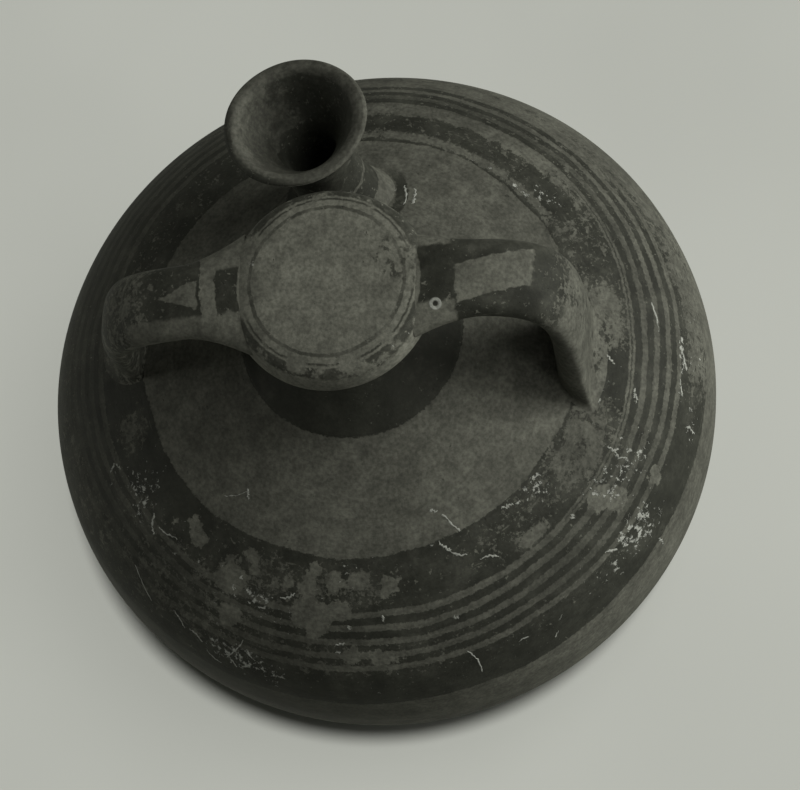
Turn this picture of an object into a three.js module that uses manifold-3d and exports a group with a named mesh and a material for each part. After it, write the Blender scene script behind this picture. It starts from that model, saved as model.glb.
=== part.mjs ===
// A stirrup jar: a closed globular jar of thrown clay with a false neck, a flat disc on top of
// it, two strap handles from the disc to the shoulder, and a separate flared spout.
// Millimetres, +Z up. The origin is the centre of the foot's resting plane, +X runs along the
// right handle, and +Y points to the side on which the spout stands.
import * as THREE from 'three';
import { mergeVertices } from 'three/addons/utils/BufferGeometryUtils.js';
import Module from 'manifold-3d';

const wasm = await Module();
wasm.setup();

// Driving dimensions.
const joint = 0.3; // clearance left where two luted pieces meet
const wall = 5; // thickness of the thrown body

const belly = { radius: 90, height: 72 };
const turn = { radius: 57, height: 118.4 }; // where the round shoulder runs into the neck's flare
const seat = { radius: 27.4 }; // flat seat on which the false neck stands
const waist = { radius: 14.5, height: 150 }; // narrowest part of the false neck
const crown = 6; // thickness of clay that closes the dome under the neck
const base = { radius: 44, height: 7.5, floor: 6 }; // underside and floor of the lower bowl

// Handles of the curves that make the body's outline, in radius and height.
const bulge = {
  aboveBase: [68, 16],
  belowBelly: [belly.radius, 43],
  aboveBelly: [belly.radius, 97],
  belowTurn: [77.5, 109.2],
  aboveTurn: [35, 128.3],
  belowWaist: [waist.radius, 134],
};

const foot = {
  outer: 46.5,
  inner: 36,
  outerEdge: 1.2, // bevels beside the face on which the jar rests
  innerEdge: 1,
  bend: 4, // height at which its sides turn towards the bowl
  flare: 1.2, // how far the outside leans in up to there
  hollow: 1.5, // how far the inside leans in up to the bowl
};
const neckTop = { rise: 4, spread: 3 }; // how the neck widens again under the disc
const disc = {
  radius: 25.6,
  top: 169.5,
  bottom: 156.5,
  crownDrop: 0.9, // how far the top falls towards its edge
  soffit: 1.5, // how far the underside rises towards its edge
  girth: 5, // height of the widest girth above the underside
  lean: 0.7, // how far the edge leans in above the girth
  round: 1.8, // width of each half of the rounded upper edge
};
const spout = {
  root: new THREE.Vector3(-4.7, 38.3, 125.6), // on the shoulder
  bend: new THREE.Vector3(-11.6, 43.6, 145),
  mouth: new THREE.Vector3(-12.2, 45.5, 161),
  sunk: 7, // how far the root runs on into the wall, to be trimmed
  foot: 17, // radius of its spread foot
  stem: 9.2, // radius of its stem where it is narrowest
  bore: 6.5,
  lip: 18.2,
};
const drillLength = 40; // of the drill for the throat, from under the wall to above it

// Each strap runs from the disc over a bend to the shoulder. The two legs differ, because they
// were bent by hand. Widths and thicknesses are half sizes, and spreads are added to the width.
const rightStrap = {
  path: [[20, 0.7, 164.4], [63, 6.6, 167], [56, -0.5, 150], [56.4, -2.4, 114]],
  halfWidth: 9.8,
  discSpread: 3.8,
  rootSpread: 3.6,
  halfThickness: 4.4,
};
const leftStrap = {
  path: [[-20, -2, 164.4], [-60.5, -7.4, 167], [-57, -3, 150], [-62.6, 3.4, 110]],
  halfWidth: 9.6,
  discSpread: 6.4,
  rootSpread: 2,
  halfThickness: 4.4,
};
const discFillet = 0.17; // share of the path over which a strap narrows from the disc
const rootLift = 0.8; // how far a root's edges are pressed outwards, in half thicknesses
const strapSquareness = 0.7; // 1 makes a strap's section an ellipse, and less makes it squarer
const strapCrowding = 1.3; // more than 1 sets a strap's rings closer towards the disc

// Facets round each kind of piece.
const bodySides = 64;
const neckSides = 40;
const spoutSides = 32;
const strapSides = 16;
const strapSteps = 22;

const clay = { color: 0x55564d, roughness: 0.78, metalness: 0 };
const slip = { color: 0x34352d, roughness: 0.6, metalness: 0 };

const bezier = (...points) => new THREE.CubicBezierCurve(...points.map(([r, z]) => new THREE.Vector2(r, z)));
const spline = (points) => new THREE.SplineCurve(points.map(([r, z]) => new THREE.Vector2(r, z)));

// The outer outline of the body, in radius and height.
const lowerCurve = bezier(
  [base.radius, base.height],
  bulge.aboveBase,
  bulge.belowBelly,
  [belly.radius, belly.height],
);
const roundCurve = bezier(
  [belly.radius, belly.height],
  bulge.aboveBelly,
  bulge.belowTurn,
  [turn.radius, turn.height],
);
const flareCurve = bezier(
  [turn.radius, turn.height],
  bulge.aboveTurn,
  bulge.belowWaist,
  [waist.radius, waist.height],
);

// Where the flare reaches a radius, as a parameter of its curve.
function flareAt(radius) {
  let low = 0;
  let high = 1;
  while (high - low > 1e-6) {
    const middle = (low + high) / 2;
    if (flareCurve.getPoint(middle).x > radius) low = middle;
    else high = middle;
  }
  return low;
}

// Points of a curve between two of its parameters.
function stretch(curve, from, to, steps) {
  return Array.from({ length: steps + 1 }, (_, i) => curve.getPoint(from + ((to - from) * i) / steps));
}

// Moves an open outline sideways by a distance, to the left of its direction when positive.
function offset(points, distance) {
  return points.map((point, i) => {
    const before = points[Math.max(i - 1, 0)];
    const after = points[Math.min(i + 1, points.length - 1)];
    const along = after.clone().sub(before).normalize();
    return new THREE.Vector2(point.x - along.y * distance, point.y + along.x * distance);
  });
}

const at = (radius, height) => new THREE.Vector2(radius, height);

// A solid for cutting, from a closed geometry. The faces are turned outwards if need be.
function solid(geometry) {
  const bare = geometry.clone();
  bare.deleteAttribute('normal');
  bare.deleteAttribute('uv');
  const merged = mergeVertices(bare, 1e-4);
  const positions = Float32Array.from(merged.attributes.position.array);
  const index = Uint32Array.from(merged.index.array);
  const corner = (n) => new THREE.Vector3().fromArray(positions, 3 * index[n]);
  let volume = 0;
  for (let n = 0; n < index.length; n += 3) {
    volume += corner(n).dot(corner(n + 1).cross(corner(n + 2)));
  }
  if (volume < 0) {
    for (let n = 0; n < index.length; n += 3) {
      [index[n + 1], index[n + 2]] = [index[n + 2], index[n + 1]];
    }
  }
  const kept = [];
  for (let n = 0; n < index.length; n += 3) {
    const [a, b, c] = index.slice(n, n + 3);
    if (a !== b && b !== c && c !== a) kept.push(a, b, c);
  }
  const mesh = new wasm.Mesh({ numProp: 3, vertProperties: positions, triVerts: Uint32Array.from(kept) });
  return new wasm.Manifold(mesh);
}

// The geometry of a cut solid.
function geometryOf(manifold) {
  const mesh = manifold.getMesh();
  const geometry = new THREE.BufferGeometry();
  geometry.setAttribute('position', new THREE.BufferAttribute(Float32Array.from(mesh.vertProperties), 3));
  geometry.setIndex(Array.from(mesh.triVerts));
  geometry.computeVertexNormals();
  return geometry;
}

// A thrown piece: an outline in radius and height, turned about the jar's axis.
function thrown(outline, sides) {
  return solid(new THREE.LatheGeometry(outline, sides).rotateX(Math.PI / 2));
}

// Joins rings of points into one closed skin. Open ends are capped with a fan.
function skin(rings, { closed }) {
  const sides = rings[0].length;
  const positions = rings.flat().flatMap((point) => point.toArray());
  const faces = [];
  const spans = closed ? rings.length : rings.length - 1;
  for (let i = 0; i < spans; i++) {
    const next = (i + 1) % rings.length;
    for (let j = 0; j < sides; j++) {
      const k = (j + 1) % sides;
      const [a, b, c, d] = [i * sides + j, i * sides + k, next * sides + k, next * sides + j];
      faces.push(a, b, c, a, c, d);
    }
  }
  if (!closed) {
    for (const [ring, turned] of [[0, true], [rings.length - 1, false]]) {
      const centre = new THREE.Vector3();
      rings[ring].forEach((point) => centre.add(point));
      const hub = positions.length / 3;
      positions.push(...centre.divideScalar(sides).toArray());
      for (let j = 0; j < sides; j++) {
        const [a, b] = [ring * sides + j, ring * sides + ((j + 1) % sides)];
        faces.push(...(turned ? [hub, b, a] : [hub, a, b]));
      }
    }
  }
  const geometry = new THREE.BufferGeometry();
  geometry.setAttribute('position', new THREE.Float32BufferAttribute(positions, 3));
  geometry.setIndex(faces);
  return solid(geometry);
}

// Body.
const seatAt = flareAt(seat.radius);
const seatHeight = flareCurve.getPoint(seatAt).y;
const domeOutside = [
  ...stretch(roundCurve, 0, 1, 9),
  ...stretch(flareCurve, 0, seatAt, 6).slice(1),
];

function lowerBowl() {
  const outside = stretch(lowerCurve, 0, 1, 11);
  const inside = offset(outside, wall);
  const rim = belly.height - joint / 2;
  const floor = base.height + base.floor;
  return thrown(
    [
      at(0, base.height),
      ...outside.slice(0, -1),
      at(belly.radius, rim),
      at(belly.radius - wall, rim),
      ...inside.slice(2, -1).reverse(),
      at(inside[1].x - wall, floor),
      at(0, floor),
    ],
    bodySides,
  );
}

function shoulderDome() {
  const inside = offset(domeOutside, wall);
  const rim = belly.height + joint / 2;
  const throat = new THREE.CylinderGeometry(spout.bore, spout.bore, drillLength, spoutSides);
  const throatAxis = spout.bend.clone().sub(spout.root).normalize();
  throat.applyQuaternion(new THREE.Quaternion().setFromUnitVectors(new THREE.Vector3(0, 1, 0), throatAxis));
  throat.translate(...spout.root.toArray());
  return thrown(
    [
      at(0, seatHeight - crown),
      ...inside.slice(1, -1).reverse(),
      at(belly.radius - wall, rim),
      at(belly.radius, rim),
      ...domeOutside.slice(1),
      at(0, seatHeight),
    ],
    bodySides,
  ).subtract(solid(throat));
}

// What the body fills, grown by the joint, for trimming the pieces that are set on it.
function bodyEnvelope() {
  const grown = offset(domeOutside, -joint);
  return thrown([at(0, belly.height), ...grown, at(0, seatHeight + joint)], bodySides);
}

function footRing() {
  const top = base.height - joint;
  return thrown(
    [
      at(foot.inner, foot.innerEdge),
      at(foot.inner + foot.innerEdge, 0),
      at(foot.outer - foot.outerEdge, 0),
      at(foot.outer, foot.outerEdge),
      at(foot.outer - foot.flare, foot.bend),
      at(base.radius - joint, top),
      at(foot.inner - foot.hollow, top),
      at(foot.inner - foot.hollow / 2, foot.bend),
      at(foot.inner, foot.innerEdge),
    ],
    bodySides,
  );
}

// Neck and disc. The neck's flank runs up from the seat, is narrowest at the waist, and flares
// again under the disc.
const neckFlank = [
  ...stretch(flareCurve, seatAt, 1, 7),
  at(waist.radius + neckTop.spread / 4, waist.height + neckTop.rise),
  at(waist.radius + neckTop.spread, disc.bottom - joint),
];

function falseNeck() {
  return thrown(
    [
      at(0, seatHeight + joint),
      at(seat.radius, seatHeight + joint),
      ...neckFlank.slice(1),
      at(0, disc.bottom - joint),
    ],
    neckSides,
  );
}

function discOutline(grow) {
  const edge = spline([
    [waist.radius + neckTop.spread + joint, disc.bottom],
    [disc.radius - disc.round, disc.bottom + disc.soffit],
    [disc.radius, disc.bottom + disc.girth],
    [disc.radius - disc.lean, disc.top - disc.crownDrop - 1.7 * disc.round],
    [disc.radius - disc.round, disc.top - disc.crownDrop - disc.round / 2],
    [disc.radius - 2 * disc.round, disc.top - disc.crownDrop],
  ]).getPoints(12);
  const rounded = offset(edge, -grow);
  return [at(0, disc.bottom - grow), ...rounded, at(0, disc.top + grow)];
}

const neckDisc = () => thrown(discOutline(0), neckSides);
const discEnvelope = () => thrown(discOutline(joint), neckSides);

// One strap handle: an oval section swept along its bent path. It runs into the disc in a hollow
// curve, and spreads towards its root, where the outer face is pressed flat.
function strap({ path, halfWidth, discSpread, rootSpread, halfThickness }) {
  const curve = new THREE.CubicBezierCurve3(...path.map((point) => new THREE.Vector3(...point)));
  const rings = [];
  for (let i = 0; i <= strapSteps; i++) {
    const t = (i / strapSteps) ** strapCrowding;
    const centre = curve.getPoint(t);
    const along = curve.getTangent(t);
    const across = new THREE.Vector3(0, 1, 0).addScaledVector(along, -along.y).normalize();
    const outward = along.clone().cross(across);
    const width = halfWidth + discSpread * Math.max(0, 1 - t / discFillet) ** 2 + rootSpread * t ** 3;
    const ring = [];
    for (let j = 0; j < strapSides; j++) {
      const turned = (2 * Math.PI * j) / strapSides;
      const side = Math.sign(Math.cos(turned)) * Math.abs(Math.cos(turned)) ** strapSquareness;
      const depth = Math.sin(turned) + rootLift * t ** 3 * side ** 4;
      ring.push(
        centre
          .clone()
          .addScaledVector(across, width * side)
          .addScaledVector(outward, halfThickness * depth),
      );
    }
    rings.push(ring);
  }
  return skin(rings, { closed: false });
}

// The spout: rings of a flared profile set square to an axis that bends from the slope of the
// shoulder up to the mouth. The profile is in distance along the axis and radius.
function spoutBody() {
  const rise = new THREE.QuadraticBezierCurve3(spout.root, spout.bend, spout.mouth);
  const length = rise.getLength();
  const outside = spline([
    [-spout.sunk, spout.foot],
    [-2, spout.foot - 2.2],
    [2, spout.stem + 3],
    [7, spout.stem + 0.8],
    [15, spout.stem],
    [22, spout.stem + 1.3],
    [28, spout.stem + 4.4],
    [length - 1.8, spout.lip - 0.3],
  ]).getPoints(18);
  const lip = [at(length - 0.7, spout.lip), at(length, spout.lip - 0.7), at(length, spout.lip - 1.6)];
  const inside = spline([
    [length - 1.2, spout.lip - 2.3],
    [31, 12.6],
    [27, 9.4],
    [22.5, spout.bore + 0.4],
    [17, spout.bore],
  ]).getPoints(8);
  const profile = [...outside, ...lip, ...inside, at(-spout.sunk, spout.bore)];
  const rings = profile.map(({ x: distance, y: radius }) => {
    const share = THREE.MathUtils.clamp(distance / length, 0, 1);
    const along = rise.getTangentAt(share);
    const centre = rise.getPointAt(share).addScaledVector(along, Math.min(distance, 0));
    const sideways = new THREE.Vector3(1, 0, 0).addScaledVector(along, -along.x).normalize();
    const upward = along.clone().cross(sideways);
    return Array.from({ length: spoutSides }, (_, j) => {
      const turned = (2 * Math.PI * j) / spoutSides;
      return centre
        .clone()
        .addScaledVector(sideways, radius * Math.cos(turned))
        .addScaledVector(upward, radius * Math.sin(turned));
    });
  });
  return skin(rings, { closed: true });
}

// Assembly.
const envelope = bodyEnvelope();
const neckEnvelope = thrown(
  [at(0, seatHeight), ...offset(neckFlank, -joint), at(0, disc.bottom)],
  neckSides,
);
const trimmedStrap = (shape) => strap(shape).subtract(envelope).subtract(discEnvelope());

const pieces = {
  foot_ring: [footRing(), clay],
  lower_bowl: [lowerBowl(), clay],
  shoulder_dome: [shoulderDome(), slip],
  false_neck: [falseNeck(), slip],
  neck_disc: [neckDisc(), clay],
  right_handle: [trimmedStrap(rightStrap), slip],
  left_handle: [trimmedStrap(leftStrap), slip],
  spout: [spoutBody().subtract(envelope).subtract(neckEnvelope), slip],
};

const jar = new THREE.Group();
for (const [name, [manifold, finish]] of Object.entries(pieces)) {
  const mesh = new THREE.Mesh(geometryOf(manifold), new THREE.MeshStandardMaterial(finish));
  mesh.name = name;
  jar.add(mesh);
}

export default jar;
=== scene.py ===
"""A stirrup jar of thrown clay, dressed for a studio picture.

The jar is a closed globular body with a false neck under a flat disc, two strap handles from the
disc to the shoulder, and a flared spout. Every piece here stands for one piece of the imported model
and lies where that piece lies. Sizes are in millimetres unless a name says otherwise, +Z is up,
and the jar stands on the floor at the origin.
"""
import logging
import math
from dataclasses import dataclass
from enum import Enum
from functools import cached_property, reduce

import bmesh
import bpy
import numpy as np
from mathutils import Matrix, Vector


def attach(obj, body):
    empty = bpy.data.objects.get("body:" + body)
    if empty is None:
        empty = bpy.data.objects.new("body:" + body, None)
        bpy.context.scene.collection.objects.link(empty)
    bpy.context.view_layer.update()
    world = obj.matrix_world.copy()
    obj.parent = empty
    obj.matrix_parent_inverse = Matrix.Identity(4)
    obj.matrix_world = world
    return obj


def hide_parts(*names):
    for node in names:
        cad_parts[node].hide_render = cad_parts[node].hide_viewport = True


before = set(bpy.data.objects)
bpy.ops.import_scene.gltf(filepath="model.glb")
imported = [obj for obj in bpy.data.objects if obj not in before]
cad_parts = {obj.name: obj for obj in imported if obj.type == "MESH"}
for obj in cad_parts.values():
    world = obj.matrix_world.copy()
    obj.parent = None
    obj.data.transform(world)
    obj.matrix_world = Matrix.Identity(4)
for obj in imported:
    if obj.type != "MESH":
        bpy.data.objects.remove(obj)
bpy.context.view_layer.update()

log = logging.getLogger("stirrup_jar")

MM = 0.001
FULL_TURN = 2 * math.pi
UP = Vector((0, 0, 1))
WEDGES = 16  # repeated wedges of a turned piece
SLANT = math.sqrt(0.5)  # the sine of the 45 degrees at which slopes are measured

Mesh = bmesh.types.BMesh
Piece = bpy.types.Object
Material = bpy.types.Material
Socket = bpy.types.NodeSocket
Pair = tuple[float, float]
Triple = tuple[float, float, float]
Value = Socket | float | Triple


# Curves

@dataclass(frozen=True)
class Curve:
    """A Bezier curve through the plane or through space.

    Attributes:
        knots: Its first point, its handles and its last point.
    """

    knots: tuple

    def at(self, share: float) -> Vector:
        """Finds the point at a share of the curve, by mixing its knots pair by pair until one is left.

        Args:
            share: The share, from 0 to 1.

        Returns:
            The point.
        """
        points = [Vector(knot) for knot in self.knots]
        while len(points) > 1:
            points = [a.lerp(b, share) for a, b in zip(points, points[1:])]
        return points[0]

    def along(self, share: float) -> Vector:
        """Finds the direction of the curve at a share of it."""
        small = 1e-4
        return (self.at(share + small) - self.at(share - small)).normalized()

    def walk(self, start: float, end: float, steps: int) -> list[Vector]:
        """Lists evenly spread points between two shares of the curve."""
        return [self.at(start + (end - start) * i / steps) for i in range(steps + 1)]

    def share_at_radius(self, radius: float) -> float:
        """Finds the share at which a curve whose radius falls reaches a radius.

        Args:
            radius: The radius to reach.

        Returns:
            The share.
        """
        low, high = 0.0, 1.0
        for _ in range(30):
            middle = (low + high) / 2
            if self.at(middle).x > radius:
                low = middle
            else:
                high = middle
        return low


def smooth_line(points: list[Pair], steps: int) -> list[Vector]:
    """Draws a smooth line through points of a profile.

    Args:
        points: The profile's points.
        steps: How many steps each span gets.

    Returns:
        The points of the smooth line, the given ones among them.
    """
    knots = [Vector(point) for point in points]
    line = [knots[0]]
    for i in range(len(knots) - 1):
        before, here = knots[max(i - 1, 0)], knots[i]
        there, after = knots[i + 1], knots[min(i + 2, len(knots) - 1)]
        handles = (here, here + (there - before) / 6, there - (after - here) / 6, there)
        line += Curve(handles).walk(0, 1, steps)[1:]
    return line


def beside(line: list[Vector], distance: float) -> list[Vector]:
    """Moves an open profile sideways.

    Args:
        line: The profile's points.
        distance: How far, to the left of the line's direction where positive.

    Returns:
        The moved points.
    """
    moved = []
    for i, point in enumerate(line):
        step = (line[min(i + 1, len(line) - 1)] - line[max(i - 1, 0)]).normalized()
        moved.append(Vector((point.x - step.y * distance, point.y + step.x * distance)))
    return moved


def fade(value: float, start: float, end: float) -> float:
    """Rises smoothly from 0 at start to 1 at end."""
    share = min(max((value - start) / (end - start), 0), 1)
    return share * share * (3 - 2 * share)


# The body's form, which all the pieces share

@dataclass(frozen=True)
class BodyForm:
    """The outline of the thrown body, in radius and height.

    Attributes:
        belly: The widest girth.
        turn: Where the round shoulder runs into the neck's flare.
        waist: The narrowest part of the neck.
        base: The edge of the underside.
        seat: The radius of the seat under the false neck.
        wall: The thickness of the clay.
        crown: The thickness of the clay that closes the dome.
        floor: The thickness of the floor.
        sway: How far the turning strays from a true round.
    """

    belly: Pair = (90, 72)
    turn: Pair = (57, 118.4)
    waist: Pair = (14.5, 150)
    base: Pair = (44, 7.5)
    seat: float = 27.4
    wall: float = 5
    crown: float = 6
    floor: float = 6
    sway: float = 0.22

    @cached_property
    def lower(self) -> Curve:
        """The lower half, from the underside up to the belly."""
        return Curve((self.base, (68, 16), (self.belly[0], 43), self.belly))

    @cached_property
    def round(self) -> Curve:
        """The round shoulder, from the belly up to the turn."""
        return Curve((self.belly, (self.belly[0], 97), (77.5, 109.2), self.turn))

    @cached_property
    def flare(self) -> Curve:
        """The flare, from the turn up to the waist of the neck."""
        return Curve((self.turn, (35, 128.3), (self.waist[0], 134), self.waist))

    @cached_property
    def seat_share(self) -> float:
        """The share of the flare at which the seat lies."""
        return self.flare.share_at_radius(self.seat)

    @property
    def seat_height(self) -> float:
        """The height of the seat."""
        return self.flare.at(self.seat_share).y

    def dome(self, on_round: int, on_flare: int) -> list[Vector]:
        """Draws the outside from the belly to the seat, in a count of steps on each of its two curves."""
        return self.round.walk(0, 1, on_round) + self.flare.walk(0, self.seat_share, on_flare)[1:]

    @cached_property
    def slope(self) -> tuple[list[float], list[float]]:
        """The shoulder's radii, rising from the neck to the belly, and the heights there."""
        steps = 600
        line = list(reversed(self.round.walk(0, 1, steps) + self.flare.walk(0, 1, steps)[1:]))
        return [point.x for point in line], [point.y for point in line]

    def height(self, x: float, y: float) -> float:
        """Finds the height of the shoulder's surface above a point of the floor."""
        return float(np.interp(math.hypot(x, y), *self.slope))

    def stray(self, x: float, y: float, z: float) -> float:
        """Finds how far the surface strays outwards from a true round, at a point on it.

        Args:
            x: The point's place along X.
            y: Its place along Y.
            z: Its height.

        Returns:
            How far the surface strays there.
        """
        turn = math.atan2(y, x)
        slow = math.sin(2 * turn + 0.6) + 0.5 * math.sin(3 * turn + z / 17)
        ridge = 0.25 * math.sin(z / 1.9 + 0.8 * math.sin(turn))
        near = fade(math.hypot(x, y), self.seat + 2, self.seat + 16)
        return self.sway * near * fade(z, self.base[1], self.base[1] + 12) * (slow + ridge)


BODY = BodyForm()


# Mesh making

def turned(outline: list[Vector], sides: int, closed: bool = False) -> Mesh:
    """Turns an outline about the jar's axis, as on the wheel.

    One wedge is spun and then repeated, which is quicker than a whole spin.

    Args:
        outline: Points in radius and height, from axis to axis, or round a ring.
        sides: How many sides the turned piece gets, a multiple of the wedges.
        closed: Whether the outline's end joins its start.

    Returns:
        The closed mesh, in metres.
    """
    mesh = bmesh.new()
    points = [mesh.verts.new((point.x * MM, 0, point.y * MM)) for point in outline]
    pairs = list(zip(points, points[1:]))
    if closed:
        pairs.append((points[-1], points[0]))
    for pair in pairs:
        mesh.edges.new(pair)
    wedge = FULL_TURN / WEDGES
    bmesh.ops.spin(
        mesh,
        geom=mesh.verts[:] + mesh.edges[:],
        cent=(0, 0, 0),
        axis=UP,
        angle=wedge,
        steps=sides // WEDGES,
    )
    bmesh.ops.spin(
        mesh,
        geom=mesh.verts[:] + mesh.edges[:] + mesh.faces[:],
        cent=(0, 0, 0),
        axis=UP,
        angle=FULL_TURN - wedge,
        steps=WEDGES - 1,
        use_duplicate=True,
    )
    bmesh.ops.remove_doubles(mesh, verts=mesh.verts[:], dist=1e-6)
    bmesh.ops.recalc_face_normals(mesh, faces=mesh.faces[:])
    return mesh


def swept(rings: list[list[Vector]], values: dict[str, list[list[float]]], looped: bool) -> Mesh:
    """Draws a skin over rings, by extruding a circle from ring to ring.

    Args:
        rings: The points of each ring, in millimetres.
        values: Numbers that the finish reads, by name, for each point of each ring.
        looped: Whether the last ring joins the first, or both ends are closed flat.

    Returns:
        The closed mesh, in metres.
    """
    mesh = bmesh.new()
    order = mesh.verts.layers.int.new("order")
    layers = {name: mesh.verts.layers.float.new(name) for name in values}
    circle = bmesh.ops.create_circle(mesh, segments=len(rings[0]), radius=1)
    for i, vert in enumerate(circle["verts"]):
        vert[order] = i
    ring_edges = mesh.edges[:]
    first_edges = ring_edges
    ring_verts = circle["verts"]
    for i, ring in enumerate(rings):
        if i > 0:
            grown = bmesh.ops.extrude_edge_only(mesh, edges=ring_edges)["geom"]
            ring_verts = [item for item in grown if isinstance(item, bmesh.types.BMVert)]
            ring_edges = [item for item in grown if isinstance(item, bmesh.types.BMEdge)]
        for vert in ring_verts:
            vert.co = ring[vert[order]] * MM
            for name, layer in layers.items():
                vert[layer] = values[name][i][vert[order]]
    if looped:
        bmesh.ops.bridge_loops(mesh, edges=first_edges + ring_edges)
    else:
        bmesh.ops.holes_fill(mesh, edges=first_edges + ring_edges)
    bmesh.ops.recalc_face_normals(mesh, faces=mesh.faces[:])
    return mesh


def data_of(name: str, mesh: Mesh) -> bpy.types.Mesh:
    """Turns a mesh into an object's data, and uses the mesh up.

    Args:
        name: The data's name.
        mesh: The mesh.

    Returns:
        The data.
    """
    data = bpy.data.meshes.new(name)
    mesh.to_mesh(data)
    mesh.free()
    return data


def placed(name: str, data: bpy.types.ID) -> Piece:
    """Adds an object with its data to the scene."""
    item = bpy.data.objects.new(name, data)
    bpy.context.scene.collection.objects.link(item)
    return item


def as_piece(name: str, mesh: Mesh, node: str, crease: float = 50) -> Piece:
    """Makes a mesh a piece of the jar.

    Args:
        name: The piece's name.
        mesh: Its mesh, which is used up.
        node: The CAD node that the piece stands for.
        crease: The angle in degrees from which an edge stays sharp.

    Returns:
        The piece.
    """
    piece = placed(name, data_of(name, mesh))
    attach(piece, "root")
    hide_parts(node)
    shade(piece.data, crease)
    return piece


def shade(data: bpy.types.Mesh, crease: float) -> None:
    """Shades a mesh smooth, apart from edges sharper than an angle in degrees."""
    data.shade_smooth()
    data.set_sharp_from_angle(angle=math.radians(crease))


def report(piece: Piece) -> None:
    """Logs the size of a finished piece."""
    data = piece.data
    log.info("%s: %d vertices, %d faces", piece.name, len(data.vertices), len(data.polygons))


# Finishes

class Nodes:
    """A node tree, with short calls for the nodes that it needs."""

    def __init__(self, tree: bpy.types.NodeTree) -> None:
        """Takes over a tree."""
        self.tree = tree

    def add(self, kind: str, settings: dict | None = None, **inputs: Value) -> bpy.types.Node:
        """Adds a node.

        Args:
            kind: The node's type.
            settings: Its properties.
            **inputs: Sockets to link or values to set, by the input's name.

        Returns:
            The node.
        """
        node = self.tree.nodes.new(kind)
        for name, setting in (settings or {}).items():
            setattr(node, name, setting)
        for name, value in inputs.items():
            self.feed(node.inputs[name], value)
        return node

    def feed(self, target: Socket, value: Value) -> None:
        """Links a socket to an input, or sets a plain value there.

        Args:
            target: The input.
            value: The socket, or the plain value.
        """
        if isinstance(value, Socket):
            self.tree.links.new(value, target)
        else:
            target.default_value = value

    def math(self, operation: str, *values: Value) -> Socket:
        """Works out a number from others.

        Args:
            operation: What to work out.
            *values: The numbers.

        Returns:
            The result.
        """
        node = self.add("ShaderNodeMath", {"operation": operation})
        for target, value in zip(node.inputs, values):
            self.feed(target, value)
        return node.outputs[0]

    def plus(self, *values: Value) -> Value:
        """Adds numbers."""
        return reduce(lambda total, value: self.math("ADD", total, value), values)

    def times(self, *values: Value) -> Value:
        """Multiplies numbers."""
        return reduce(lambda total, value: self.math("MULTIPLY", total, value), values)

    def either(self, *masks: Value) -> Value:
        """Marks what any of several masks marks."""
        return reduce(lambda joined, mask: self.math("MAXIMUM", joined, mask), masks)

    def both(self, *masks: Value) -> Value:
        """Marks what all of several masks mark."""
        return self.times(*masks)

    def without(self, mask: Value) -> Socket:
        """Marks what a mask leaves out."""
        return self.math("SUBTRACT", 1.0, mask)

    def ramp(
        self, value: Value, start: Value, end: Value, low: Value = 0, high: Value = 1, kind: str = "LINEAR"
    ) -> Socket:
        """Takes a value evenly from low at start to high at end."""
        inputs = {"Value": value, "From Min": start, "From Max": end, "To Min": low, "To Max": high}
        return self.add("ShaderNodeMapRange", {"interpolation_type": kind}, **inputs).outputs[0]

    def rise(self, value: Value, start: Value, end: Value, low: Value = 0, high: Value = 1) -> Socket:
        """Takes a value smoothly from low at start to high at end."""
        return self.ramp(value, start, end, low, high, "SMOOTHSTEP")

    def stripe(self, value: Value, start: float, end: float, soft: float = 0.15) -> Socket:
        """Marks the values between two limits, with soft edges."""
        opens = self.rise(value, start - soft, start + soft)
        closes = self.rise(value, end - soft, end + soft)
        return self.math("SUBTRACT", opens, closes)

    def seen(self) -> Socket:
        """Marks the rays of the picture, also those by a mirror or through glass, which carry no light."""
        paths = self.add("ShaderNodeLightPath").outputs
        return self.either(*(paths[f"Is {kind} Ray"] for kind in ("Camera", "Glossy", "Transmission")))


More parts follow.
